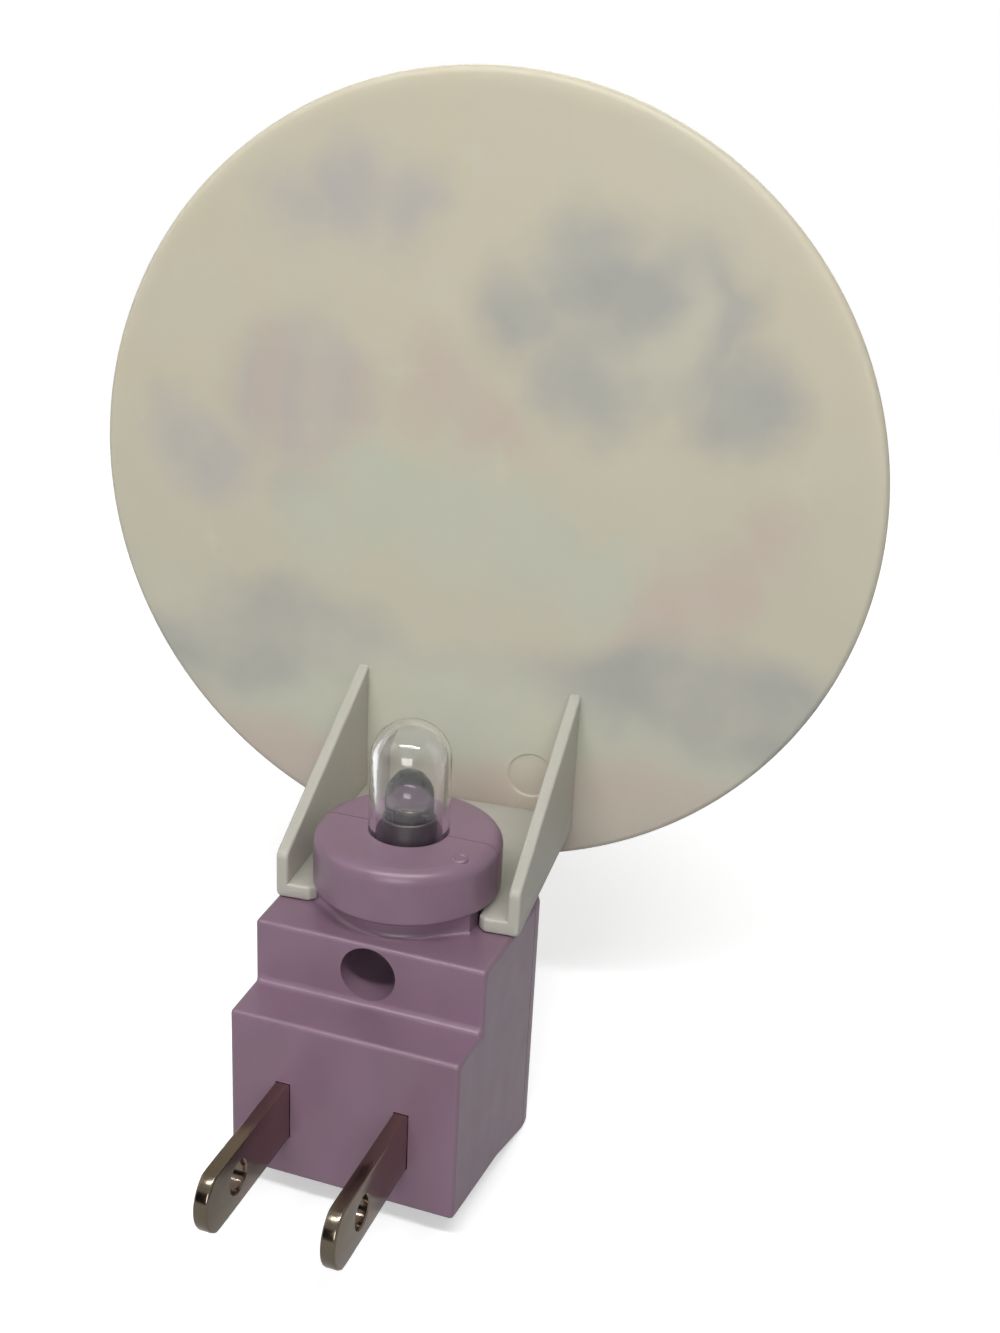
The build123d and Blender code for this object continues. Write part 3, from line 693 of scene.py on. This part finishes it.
@dataclass(frozen=True)
class Banded(Finish):
    """A small part's glossy body with bands printed round it.

    The axis is the number of the one that it lies along. Bands are (share of its length, half of their width
    as a share, colour).
    """

    slot: Slot
    node: str
    axis: int
    colour: Colour
    bands: tuple
    roughness: float = 0.32

    def sockets(self, graph: Graph) -> dict:
        """The bands: a point's share of the length is its distance from the low end over the length."""
        point = graph.place()
        low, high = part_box(self.node)
        start, end = (corner[self.axis] / MILLIMETRE - NECK[self.axis] for corner in (low, high))
        share = (graph.parts(point)[self.axis] - start) / (end - start)
        grain = graph.noise(point, 0.12)
        colour = graph.mix(self.colour, grey(0), graph.noise(point, 1.0, 3).rise(0.4, 0.9) * 0.12)
        for place, half, ink in self.bands:
            colour = graph.mix(ink, colour, abs(share - place).rise(half, half + 0.01))
        return {
            "Base Color": colour,
            "Roughness": grain.about(self.roughness, 0.12),
            "Normal": graph.bump(grain, 0.004),
        }


@dataclass(frozen=True)
class SatinMoulding(Finish):
    """The plug body's lilac plastic: a fine spark-eroded grain, faint flow marks and a few dark specks."""

    slot: Slot = Slot.BODY_PLASTIC
    colour: Colour = tint(132, 105, 124)
    flow: Colour = tint(127, 101, 117)
    speck: Colour = tint(60, 46, 54)
    roughness: float = 0.33
    grain: float = 0.09
    grain_depth: float = 0.006

    def sockets(self, graph: Graph) -> dict:
        """Flow marks and specks in the colour, and a grain on slow waves in the normal."""
        point = graph.place()
        flow = graph.noise(graph.stretched(point, (1, 1, 0.45)), 6.0, 3)
        grain = graph.noise(point, self.grain, 3, 0.6)
        waves = graph.noise(point, 3.0, 2)
        colour = graph.mix(self.colour, self.flow, flow.rise(0.35, 0.7))
        return {
            "Base Color": graph.mix(colour, self.speck, graph.specks(point, 2.2, 0.07, 0.04) * 0.8),
            "Roughness": waves.about(self.roughness, 0.14),
            "IOR": 1.56,
            "Normal": graph.bump(grain, self.grain_depth, graph.bump(waves, 0.02)),
        }


@dataclass(frozen=True)
class TranslucentMoulding(Finish):
    """The shade's milky plastic, through whose disc the printed film shows softly."""

    picture: NightPicture
    slot: Slot = Slot.SHADE_PLASTIC
    colour: Colour = tint(180, 178, 168)
    speck: Colour = tint(90, 84, 78)
    haze: Colour = tint(201, 198, 181)
    wander: float = 4.0
    roughness: float = 0.46

    def sockets(self, graph: Graph) -> dict:
        """The picture with wandering outlines on the disc's back, hazed over and fainter towards its foot."""
        point = graph.place(swivelled_frame=True)
        across, depth, height = graph.parts(point)
        up = height - DISC_Z
        flat = graph.stretched(point, (1, 0, 1))
        drift = graph.noise(flat, 8.0, 3) * 2 - 1
        lift = graph.noise(graph.stretched(point, (1, 0, -1)), 8.0, 3) * 2 - 1
        ghost = self.picture.paint(graph, across + drift * self.wander, up + lift * self.wander)
        ghost = graph.mix(ghost, self.haze, graph.noise(flat, 14.0, 3).rise(0.3, 0.8) * 0.6 + 0.1)
        behind = 1 - depth.rise(DISC_BACK_Y - NECK_Y + 0.02, DISC_BACK_Y - NECK_Y + 0.25)
        colour = graph.mix(self.colour, ghost, behind * (up.rise(-43, -20) * 0.35 + 0.65))
        grain = graph.noise(point, 0.16, 3, 0.6)
        waves = graph.noise(point, 7.0, 2)
        return {
            "Base Color": graph.mix(colour, self.speck, graph.specks(point, 9.0, 0.13, 0.07) * 0.7),
            "Roughness": waves.about(self.roughness, 0.12),
            "IOR": 1.49,
            "Subsurface Weight": 0.6,
            "Subsurface Radius": (1.0, 0.97, 0.9),
            "Subsurface Scale": 0.0025,
            "Normal": graph.bump(grain, 0.004, graph.bump(waves, 0.04)),
        }


@dataclass(frozen=True)
class PrintedFilm(Finish):
    """The film on the disc's front: the night picture in full colour under a smooth clear face."""

    picture: NightPicture
    slot: Slot = Slot.FILM
    roughness: float = 0.25

    def sockets(self, graph: Graph) -> dict:
        """The picture, a little washed with cream."""
        point = graph.place(swivelled_frame=True)
        across, _, height = graph.parts(point)
        colour = self.picture.paint(graph, across, height - DISC_Z)
        washes = graph.noise(point, 5.0, 4, 0.6)
        return {
            "Base Color": graph.mix(colour, self.picture.inks.cream, washes.rise(0.4, 0.9) * 0.25),
            "Roughness": graph.noise(point, 0.4, 2).about(self.roughness, 0.1),
            "IOR": 1.5,
            "Normal": graph.bump(graph.noise(point, 9.0, 2), 0.05),
        }


@dataclass(frozen=True)
class PlatedBlade(Finish):
    """Nickel over brass: faint drawn lines along the blade, olive at its tip and browner towards the body,
    where the colour is partly tarnish and partly a painted reflection of the lilac body.
    """

    slot: Slot = Slot.BLADE_METAL
    tip: Colour = tint(121, 110, 96)
    # Near the body: partly tarnish, partly a painted reflection of the lilac body in the metal.
    root: Colour = tint(164, 138, 132)

    def sockets(self, graph: Graph) -> dict:
        """Two metal tones along the blade, the one near the body partly tarnish and partly a painted
        reflection, with drawn lines and an uneven film of tarnish.
        """
        point = graph.place()
        _, along, _ = graph.parts(point)
        drawn = graph.noise(graph.stretched(point, (1, 0.05, 1)), 0.16, 3)
        film = graph.noise(point, 3.2, 2)
        return {
            # Painted reflection: the root colour near the body stands partly for the lilac body mirrored in
            # the metal.
            "Base Color": graph.mix(self.tip, self.root, 1 - (along + film * 6).rise(17.0, 34.0)),
            "Metallic": 1.0,
            "Roughness": drawn * 0.08 + film * 0.06 + 0.1,
            "Normal": graph.bump(drawn, 0.002, graph.bump(film, 0.02)),
        }


@dataclass(frozen=True)
class ClearMoulding(Finish):
    """Clear polished plastic, whose faint waves and hairlines show in its reflections."""

    slot: Slot
    index: float
    colour: Colour = tint(252, 252, 253)
    cloud: Colour = tint(246, 247, 248)
    wave_depth: float = 0.02

    def shader(self, graph: Graph, principled: Signal) -> Signal:
        """Lets straight light through to what the piece covers."""
        through = graph.signal("ShaderNodeBsdfTransparent", {0: tint(246, 247, 248)})
        return graph.cover(principled, through, graph.signal("ShaderNodeLightPath", output="Is Shadow Ray"))

    def sockets(self, graph: Graph) -> dict:
        """A clear body with slow waves on its face."""
        waves = graph.noise(graph.place(), 2.2, 2)
        return {
            "Base Color": graph.mix(self.colour, self.cloud, waves.rise(0.4, 0.8)),
            "Roughness": waves.rise(0.55, 0.8) * 0.02,
            "IOR": self.index,
            "Transmission Weight": 1.0,
            "Normal": graph.bump(waves, self.wave_depth),
        }


# ---- Dressing ----
def piece(
    name: str, mesh: bpy.types.Mesh, body: Body, finish: bpy.types.Material
) -> bpy.types.Object:
    """Makes an object of a mesh that rides on a body.

    Args:
        name: the object's name.
        mesh: its mesh.
        body: the body that it rides on.
        finish: its material.

    Returns:
        The object.
    """
    mesh.materials.clear()
    mesh.materials.append(finish)
    obj = shown(name, mesh)
    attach(obj, body.value)
    LOG.info("%s: %d faces on %s", name, len(mesh.polygons), body.value)
    return obj


def dress(nodes: Sequence[str], finish: bpy.types.Material) -> None:
    """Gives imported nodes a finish.

    Args:
        nodes: the nodes' names.
        finish: their material.
    """
    for name in nodes:
        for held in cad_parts[name].material_slots:
            held.material = finish
        LOG.info("%s: dressed as %s", name, finish.name)


@dataclass
class Shade:
    """The moulded shade, its disc, floor and ribs in one skin, and the film on its front."""

    radius: float = 43.08
    thickness: float = 1.8
    edge_round: float = 0.8
    bracket_half: float = 12.95
    rear_y: float = -12.0
    floor_z: float = 17.3
    floor_top_z: float = 18.9
    rib_thickness: float = 1.3
    rib_inset: float = 0.04
    rib_foot: float = 0.4
    rib_rear_height: float = 5.0
    rib_disc_height: float = 16.73
    bore_radius: float = 8.08
    fork_half: float = 8.65
    fork_radii: tuple = (0, 0.4, 0.4, 0.6, 0)
    ramp: float = 0.8
    lead_in: float = 0.7
    rim_round: float = 0.3
    overlap: float = 0.5
    mark: tuple = (-7.8, 23.2, 2.5, 0.2)
    film_thickness: float = 0.15
    film_bend: float = 0.05
    rings: int = 30
    segments: int = 256

    def wheel(
        self, profile: np.ndarray, segments: int, name: str, x: float = 0, z: float = DISC_Z
    ) -> bpy.types.Mesh:
        """Turns a profile of (radius, y) points about the line along Y through (x, z)."""
        points, faces = turned(profile, segments)
        return mesh_from(swivelled(points[..., [0, 2, 1]] + (x, 0, z)), faces, name)

    def disc(self) -> bpy.types.Mesh:
        """The disc: its edge's two rounds carried round its axis.

        Returns:
            The mesh.
        """
        front_y = DISC_BACK_Y - self.thickness
        r = self.edge_round
        inner = np.linspace(0, self.radius - r, self.rings)
        back = arc((self.radius - r, DISC_BACK_Y - r), r, 90, 0, 6)
        front = arc((self.radius - r, front_y + r), r, 0, -90, 6)
        flat = np.stack([inner, np.full(self.rings, DISC_BACK_Y)], axis=-1)
        under = np.stack([inner[::-1], np.full(self.rings, front_y)], axis=-1)
        return self.wheel(np.vstack([flat[:-1], back, front, under[1:]]), self.segments, "disc")

    def floor(self) -> bpy.types.Mesh:
        """The fork: a plate between the two ribs, open at the rear, with a round bearing for the neck.

        Returns:
            The mesh.
        """
        h, f, lead = self.bracket_half, self.fork_half, self.lead_in
        arm = [(f, NECK_Y + self.ramp), (f, self.rear_y - lead), (f + lead, self.rear_y), (h, self.rear_y)]
        arm.append((h, DISC_BACK_Y - self.overlap))
        outer = [(-x, y) for x, y in arm] + arm[::-1]
        bearing = arc((0, NECK_Y), self.bore_radius, 0, -180, 36)
        rounded = rounded_corners(outer, self.fork_radii + self.fork_radii[::-1], 5)
        outline = np.vstack([rounded, bearing])
        points, faces = slab(outline, self.floor_z, self.floor_top_z, self.rim_round)
        return mesh_from(swivelled(points), faces, "floor")

    def rib(self, side: int) -> bpy.types.Mesh:
        """One triangular rib, raised across the bracket from its side outline.

        Args:
            side: 1 for left, -1 for right.

        Returns:
            The mesh.
        """
        foot_z, end_y = self.floor_z + self.rib_foot, DISC_BACK_Y - self.overlap
        corners = [
            (self.rear_y, foot_z),
            (self.rear_y, self.floor_z + self.rib_rear_height),
            (end_y, self.floor_z + self.rib_disc_height),
            (end_y, foot_z),
        ]
        outline = rounded_corners(corners, [0, 1.0, 0, 0], 6)
        inside, outside = self.bracket_half - self.rib_thickness, self.bracket_half - self.rib_inset
        points, faces = slab(outline, inside, outside, self.rim_round)
        return mesh_from(swivelled(points[..., [2, 0, 1]] * (side, 1, 1)), faces, "rib")

    def ejector(self) -> bpy.types.Mesh:
        """What is cut from the disc's back for the ejector's mark: a low round pad with a sloping wall.

        Returns:
            The mesh.
        """
        x, z, radius, depth = self.mark
        top, bottom = DISC_BACK_Y + self.overlap, DISC_BACK_Y - depth
        profile = np.array([(0, top), (radius + top - bottom, top), (radius, bottom), (0, bottom)])
        return self.wheel(profile, 96, "ejector", x, z)

    def film(self) -> bpy.types.Mesh:
        """The film: a thin round sheet on the disc's front.

        Returns:
            The mesh.
        """
        back = DISC_BACK_Y - self.thickness
        front, bend = back - self.film_thickness, self.film_bend
        radius = self.radius - self.edge_round
        rim = arc((radius - bend, front + bend), bend, 0, -90, 3)
        inner = np.linspace(radius - bend, 0, self.rings)[1:]
        face = np.stack([inner, np.full(self.rings - 1, front)], axis=-1)
        return self.wheel(np.vstack([[(0, back), (radius, back)], rim, face]), self.segments, "film")

    def build(self, plastic: bpy.types.Material, print_finish: bpy.types.Material) -> None:
        """Makes the shade and its film.

        Args:
            plastic: the moulding's finish.
            print_finish: the film's finish.
        """
        shapes = [self.disc(), self.floor(), self.rib(1), self.rib(-1)]
        mesh = joined("shade_moulding", shapes, [self.ejector()])
        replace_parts(piece("shade_moulding", mesh, Body.SHADE, plastic), "shade")
        film = piece("night_film", self.film(), Body.SHADE, print_finish)
        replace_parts(film, "picture_film")


@dataclass
class Lamp:
    """The clear capsule and the LED under it."""

    capsule_radius: float = 4.15
    wall: float = 0.7
    apex_z: float = 37.35
    base_z: float = 18.65
    flange_radius: float = 5.3
    flange: float = 1.2
    led_radius: float = 2.5
    led_base_z: float = 23.3
    led_height: float = 8.6
    led_flange_radius: float = 2.9
    led_flange: float = 1.0
    segments: int = 128

    def stood(self, profile: np.ndarray, name: str, flat: float = -math.inf) -> bpy.types.Mesh:
        """Turns a profile of (radius, height) points about the neck's axis, cut flat on its right side."""
        points, faces = turned(profile, self.segments)
        points[..., 0] = np.maximum(points[..., 0], flat)
        return mesh_from(points + NECK, faces, name)

    def capsule(self) -> bpy.types.Mesh:
        """The capsule: a domed tube open below, thin at its wall, with its flange round its foot.

        Returns:
            The mesh.
        """
        dome_z = self.apex_z - self.capsule_radius
        shoulder_z = self.base_z + self.flange
        inner_radius = self.capsule_radius - self.wall
        outer = arc((0, dome_z), self.capsule_radius, 0, 90, 24)
        inner = arc((0, dome_z), inner_radius, 90, 0, 24)
        rim = self.flange_radius
        foot = [(rim, self.base_z), (rim, shoulder_z), (self.capsule_radius, shoulder_z)]
        return self.stood(np.vstack([foot, outer, inner, [(inner_radius, self.base_z)]]), "capsule")

    def led(self) -> bpy.types.Mesh:
        """The LED's epoxy: a domed rod on a flange, flat on the cathode's side of its flange.

        Returns:
            The mesh.
        """
        base_z, radius, rim = self.led_base_z, self.led_radius, self.led_flange_radius
        flange_z = base_z + self.led_flange
        foot = [(0, base_z), (rim, base_z), (rim, flange_z), (radius, flange_z)]
        dome = arc((0, base_z + self.led_height - radius), radius, 0, 90, 24)
        return self.stood(np.vstack([foot, dome]), "led", -radius)

    def build(self, clear: bpy.types.Material, epoxy: bpy.types.Material) -> None:
        """Makes the capsule and the LED's body.

        Args:
            clear: the capsule's finish.
            epoxy: the LED's finish.
        """
        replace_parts(piece("capsule", self.capsule(), Body.PLUG, clear), "lens_capsule")
        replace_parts(piece("led_body", self.led(), Body.PLUG, epoxy), "led_lens")


@dataclass
class Plug:
    """The plug body and what stands in it. The blades are made anew, with their noses rolled."""

    spacing: float = 12.7
    half_width: float = 3.175
    half_thickness: float = 0.75
    length: float = 16.99
    nose_radius: float = 3.6
    edge_bevel: float = 0.12
    nose_bevel: float = 0.26
    nose_roll: tuple = (1.2, 1.6)
    side_start: float = -1.5
    shoulder: tuple = (-2.0, -4.5, 4.2)
    tail: tuple = (-9.0, 1.5)
    hole: tuple = (10.8, 1.6, 0.14)
    tail_hole: tuple = (-7.8, 0.35, 0.02)
    body_top_z: float = 17.2
    neck_radius: float = 8.0
    lug_corner: tuple = (8.31, 3.82)
    lug_root_angle: float = 46.0
    foot_round: float = 0.6
    gate: tuple = (-6.97, -12.1, 25.45, 0.72, 0.22)

    def drilled(self, x: float, place: tuple) -> bpy.types.Mesh:
        """What is cut from a blade for a hole: a bar that widens at both faces of the blade.

        Args:
            x: the blade's middle.
            place: the hole's distance along the blade, its radius and its bevel.

        Returns:
            The mesh.
        """
        along, radius, bevel = place
        t = self.half_thickness
        profile = [(0, -2 * t), (radius + bevel + t, -2 * t), (radius, bevel - t), (radius, t - bevel)]
        profile += [(radius + bevel + t, 2 * t), (0, 2 * t)]
        points, faces = turned(np.array(profile), 64)
        return mesh_from(points[..., [2, 0, 1]] + (x, along, 0), faces, "drilled")

    def blade(self, side: int) -> bpy.types.Mesh:
        """A blade with its shoulder and tail: one outline raised across, its rim rolled wider at the nose.

        Args:
            side: 1 for left, -1 for right.

        Returns:
            The mesh.
        """
        half, radius = self.half_width, self.nose_radius
        reach = math.degrees(math.asin(half / radius))
        nose = arc((self.length - radius, 0), radius, -reach, reach, 28)
        front, back, wide = self.shoulder
        end, narrow = self.tail
        side_runs = np.linspace(self.side_start, nose[-1, 0], 24, endpoint=False)[::-1]
        upper = np.stack([side_runs, np.full(24, half)], axis=-1)
        inner = [(front, half), (front, wide), (back, wide), (back, narrow), (end, narrow)]
        flank = np.vstack([upper, inner])
        outline = np.vstack([nose, flank, (flank * (1, -1))[::-1]])
        before, run = self.nose_roll
        rolled = np.clip((outline[:, 0] - nose[-1, 0] + before) / run, 0, 1)
        edge = self.edge_bevel + (self.nose_bevel - self.edge_bevel) * rolled * rolled * (3 - 2 * rolled)
        points, faces = slab(outline, -self.half_thickness, self.half_thickness, edge, 5)
        x = side * self.spacing / 2
        whole = mesh_from(points[..., [2, 0, 1]] + (x, 0, 0), faces, "blade")
        cuts = [self.drilled(x, self.hole), self.drilled(x, self.tail_hole)]
        return joined("blade", [whole], cuts, 25)

    def neck_foot(self) -> bpy.types.Mesh:
        """The hollow round at the foot of the neck and of the stop lugs' rear faces.

        A path runs along one lug's rear face from its corner to the neck, round the rear of the neck and out
        along the other lug. A point of the round at angle a stands round (1 - cos a) off the path along its
        normal, and round (1 - sin a) above the body's top.

        Returns:
            The mesh.
        """
        angle = np.radians(self.lug_root_angle)
        root = self.neck_radius * np.array([np.cos(angle), np.sin(angle)])
        along = np.linspace(0, 1, 9)[:-1, None]
        face = np.array(self.lug_corner) * (1 - along) + root * along
        run = root - self.lug_corner
        face_normal = np.broadcast_to(np.array([-run[1], run[0]]) / -np.hypot(*run), face.shape)
        turn = np.linspace(angle, np.pi - angle, 64)[:, None]
        around = np.hstack([np.cos(turn), np.sin(turn)])
        mirrored = np.array([-1, 1])
        path = np.vstack([face, self.neck_radius * around, (face * mirrored)[::-1]])
        normal = np.vstack([face_normal, around, (face_normal * mirrored)[::-1]])
        r, sunk = self.foot_round, 0.08
        top = self.body_top_z
        hollow = arc((r, top + r), r, 180, 270, 8)
        section = np.vstack([[(-sunk, top + r)], hollow, [(r, top - sunk), (-sunk, top - sunk)]])
        plan = path[None] + section[:, :1, None] * normal[None] + np.array([0, NECK_Y])
        points = np.concatenate([plan, np.broadcast_to(section[:, 1:, None], plan.shape[:2] + (1,))], axis=-1)
        return mesh_from(*strip(points), "neck_foot")

    def gate_mark(self) -> bpy.types.Mesh:
        """The torn ring, a little open, that the moulding's gate left on the collar's top.

        Returns:
            The mesh.
        """
        x, y, z, radius, thickness = self.gate
        turn = np.radians(np.linspace(-20, 290, 40))
        swell = thickness * (1 + 0.3 * np.sin(3 * turn))
        section = np.radians(np.linspace(0, 360, 12, endpoint=False))[:, None]
        reach = radius + swell * np.cos(section)
        height = z - 0.35 * thickness + swell * np.sin(section)
        points = np.stack([x + reach * np.cos(turn), y + reach * np.sin(turn), height], axis=-1)
        return mesh_from(*strip(points), "gate_mark")

    def build(self, plastic: bpy.types.Material, metal: bpy.types.Material) -> None:
        """Dresses the plug's nodes.

        Args:
            plastic: the two halves' finish.
            metal: the blades' finish.
        """
        dress(["rear_housing", "front_cover"], plastic)
        for side, name in ((1, "blade_left"), (-1, "blade_right")):
            blade = piece("plug_" + name, self.blade(side), Body.PLUG, metal)
            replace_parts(blade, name)
        piece("neck_foot", self.neck_foot(), Body.PLUG, plastic)
        piece("gate_mark", self.gate_mark(), Body.PLUG, plastic)
        for stock in STOCKS:
            dress(stock.nodes, stock.material())
        for part in BANDED:
            dress([part.node], part.material())


@dataclass(frozen=True)
class Softbox:
    """An oblong lamp: its place, its level and its other side in millimetres, and its power in watts."""

    name: str
    place: tuple
    width: float
    height: float
    power: float


@dataclass
class Studio:
    """The floor, the lamps, the world and the camera."""

    floor_z: float = -10.83
    floor_radii: tuple = (2500.0, 1000, 400, 150, 60, 0)
    floor_tone: float = 0.86
    floor_glow: float = 0.42
    fade: tuple = (0.12, 0.42)
    fade_y: float = -0.02
    ambient: float = 0.18
    mirrored: float = 0.4
    refracted: float = 0.8
    bounce: float = 0.24
    camera_place: tuple = (-54.3, 122.1, 102.1)
    camera_pitch: float = -21.532
    camera_heading: float = 161.791
    camera_roll: float = 2.932
    lens: float = 43.94
    card: tuple = (900, 750, -10, 420)
    card_tone: float = 0.03
    aim: tuple = (0, -20, 40)
    lamps: tuple = (
        Softbox("high", (-60, 320, 640), 700, 45, 3.55),
        Softbox("low", (-110, 710, 220), 420, 300, 2.1),
        Softbox("left", (600, 240, 420), 400, 500, 0.45),
        Softbox("right", (-500, 200, 600), 400, 260, 0.12),
        Softbox("front", (120, -800, 420), 700, 700, 3.6),
    )

    def seen(self, graph: Graph) -> Signal:
        """A mask: 1 for what the camera sees, a little less through a clear piece or in a reflection."""
        path = graph.node("ShaderNodeLightPath").outputs
        names = ("Is Camera Ray", "Is Transmission Ray", "Is Glossy Ray")
        camera, through, mirror = (Signal(graph, path[name]) for name in names)
        return camera.over(through * self.refracted).over(mirror * self.mirrored)

    def floor(self) -> None:
        """A pale floor that takes the object's shadow and turns to plain white away from it."""
        graph = Graph.named("pale_floor")
        across, along, _ = graph.parts(graph.signal("ShaderNodeTexCoord", output="Object"))
        far = ((across**2 + (along - self.fade_y) ** 2) ** 0.5).rise(*self.fade)
        lit = graph.signal("ShaderNodeBsdfDiffuse", {0: grey(self.floor_tone)})
        glow = graph.signal("ShaderNodeEmission", {0: grey(1), 1: self.floor_glow})
        white = graph.signal("ShaderNodeEmission", {0: grey(1), 1: 1.0})
        near = graph.signal("ShaderNodeAddShader", {0: lit, 1: glow})
        dim = graph.signal("ShaderNodeBsdfDiffuse", {0: grey(self.bounce)})
        finish = graph.close(graph.cover(dim, graph.cover(near, white, far), self.seen(graph)))
        rings = len(self.floor_radii)
        points, _ = turned(np.stack([self.floor_radii, np.full(rings, self.floor_z)], axis=-1), 96)
        mesh = raw_mesh(points, grid_faces(rings, 96, False, True), "studio_floor")
        mesh.materials.append(finish)
        obj = shown("studio_floor", mesh)

    def world(self) -> None:
        """A world that is white where it is seen and even and dimmer where it lights."""
        world = bpy.data.worlds.new("studio")
        bpy.context.scene.world = world
        graph = Graph(world)
        strength = self.seen(graph) * (1 - self.ambient) + self.ambient
        graph.close(graph.signal("ShaderNodeBackground", {0: grey(1), 1: strength}))

    def lamp(self, box: Softbox) -> None:
        """A soft lamp that faces the object."""
        light = bpy.data.lights.new(box.name, "AREA")
        light.shape, light.energy = "RECTANGLE", box.power
        light.size, light.size_y = box.width * MILLIMETRE, box.height * MILLIMETRE
        obj = shown(box.name, light)
        turn = (Vector(self.aim) - Vector(box.place)).to_track_quat("-Z", "Y").to_matrix().to_4x4()
        obj.matrix_world = Matrix.Translation(Vector(box.place) * MILLIMETRE) @ turn
        obj.visible_camera = False

    def dark_card(self) -> None:
        """A dark card behind the camera, which only reflections show: the unlit side of the room."""
        graph = Graph.named("dark_card")
        x, y, low, high = self.card
        corners = np.array([(-x, y, low), (x, y, low), (x, y, high), (-x, y, high)])
        mesh = raw_mesh(corners, [(0, 1, 2, 3)], "dark_card")
        mesh.materials.append(graph.close(graph.signal("ShaderNodeBsdfDiffuse", {0: grey(self.card_tone)})))
        obj = shown("dark_card", mesh)
        obj.visible_camera = obj.visible_diffuse = obj.visible_transmission = obj.visible_shadow = False

    def camera(self) -> None:
        """The camera, from its place, pitch, heading and roll."""
        heading, pitch = math.radians(self.camera_heading), math.radians(self.camera_pitch)
        level = math.cos(pitch)
        forward = Vector((math.sin(heading) * level, math.cos(heading) * level, math.sin(pitch)))
        across = forward.cross(Vector((0, 0, 1))).normalized()
        above = across.cross(forward)
        roll = math.radians(self.camera_roll)
        right = math.cos(roll) * across + math.sin(roll) * above
        up = math.cos(roll) * above - math.sin(roll) * across
        data = bpy.data.cameras.new("camera")
        data.sensor_fit, data.sensor_width, data.lens = "AUTO", 36.0, self.lens
        data.clip_start, data.clip_end = 0.005, 20.0
        obj = shown("camera", data)
        turn = Matrix((right, up, -forward)).transposed().to_4x4()
        obj.matrix_world = Matrix.Translation(Vector(self.camera_place) * MILLIMETRE) @ turn
        bpy.context.scene.camera = obj

    def build(self) -> None:
        """Makes the whole studio."""
        self.floor()
        self.world()
        self.dark_card()
        for box in self.lamps:
            self.lamp(box)
        self.camera()
        bpy.context.scene.view_settings.view_transform = "Standard"


GHOST = Inks(
    sky_high=tint(205, 197, 175),
    sky_low=tint(196, 192, 174),
    slate=tint(168, 168, 163),
    sage=tint(193, 196, 180),
    rose=tint(198, 182, 170),
    cream=tint(205, 200, 182),
    lilac=tint(184, 179, 175),
    softness=3.4,
)
PRINT = Inks(
    sky_high=tint(244, 226, 190),
    sky_low=tint(206, 214, 196),
    slate=tint(112, 124, 148),
    sage=tint(150, 170, 140),
    rose=tint(208, 140, 142),
    cream=tint(252, 244, 220),
    lilac=tint(190, 174, 200),
    softness=0.14,
)
STOCKS = (
    # The leads' metal is darkened: a painted shade for the dim inside of the LED.
    Stock(
        Slot.LEAD_METAL, ("led_cathode_lead", "led_anode_lead", "component_leads"),
        tint(92, 86, 82), tint(74, 68, 66), 0.34, 1.0,
    ),
    Stock(Slot.CHIP, ("led_chip",), tint(226, 206, 110), tint(210, 188, 90), 0.5),
    Stock(Slot.BLACK_PLASTIC, ("led_spacer", "led_holder"), tint(48, 42, 44), tint(38, 33, 35), 0.38),
    Stock(Slot.SLEEVE, ("lead_sleeves",), tint(228, 226, 216), tint(216, 212, 200), 0.6),
    Stock(Slot.RETAINER, ("blade_retainer",), tint(214, 206, 184), tint(198, 188, 164), 0.6),
    Stock(Slot.SCREW_STEEL, ("housing_screw",), tint(120, 117, 115), tint(96, 92, 90), 0.4, 1.0),
    Stock(Slot.BOARD, ("circuit_board",), tint(188, 158, 104), tint(168, 138, 88), 0.55),
    Stock(Slot.SOLDER, ("solder_joints",), tint(204, 204, 206), tint(180, 180, 184), 0.25, 1.0),
    Stock(Slot.WIRE, ("wire_left", "wire_right"), tint(224, 224, 218), tint(210, 208, 200), 0.5),
)
COLOUR_CODE = (
    (0.12, 0.045, tint(220, 190, 60)),
    (0.34, 0.035, tint(96, 60, 40)),
    (0.5, 0.035, tint(176, 48, 40)),
    (0.88, 0.045, tint(188, 150, 70)),
)
CATHODE_END, POLARITY = (0.84, 0.06, tint(196, 196, 198)), (0.5, 0.14, tint(206, 208, 214))
BANDED = (
    Banded(Slot.RESISTOR, "dropper_resistors", 0, tint(204, 180, 140), COLOUR_CODE),
    Banded(Slot.DIODE, "rectifier_diodes", 0, tint(34, 34, 36), (CATHODE_END,), 0.4),
    Banded(Slot.CAPACITOR, "smoothing_capacitor", 2, tint(40, 46, 84), (POLARITY,), 0.3),
)


def main() -> None:
    """Builds the night light and its studio in order."""
    logging.basicConfig(level=logging.INFO, format="%(name)s %(message)s")
    shade_plastic = TranslucentMoulding(NightPicture(GHOST)).material()
    film = PrintedFilm(NightPicture(PRINT)).material()
    Shade().build(shade_plastic, film)
    Lamp().build(
        ClearMoulding(Slot.CLEAR_PLASTIC, 1.49).material(),
        # The LED's epoxy takes a grey tint: a painted shade for the dim inside of the capsule.
        ClearMoulding(Slot.LED_EPOXY, 1.6, tint(182, 175, 180), tint(172, 166, 171), 0.01).material(),
    )
    Plug().build(SatinMoulding().material(), PlatedBlade().material())
    Studio().build()


if __name__ == "__main__":
    main()
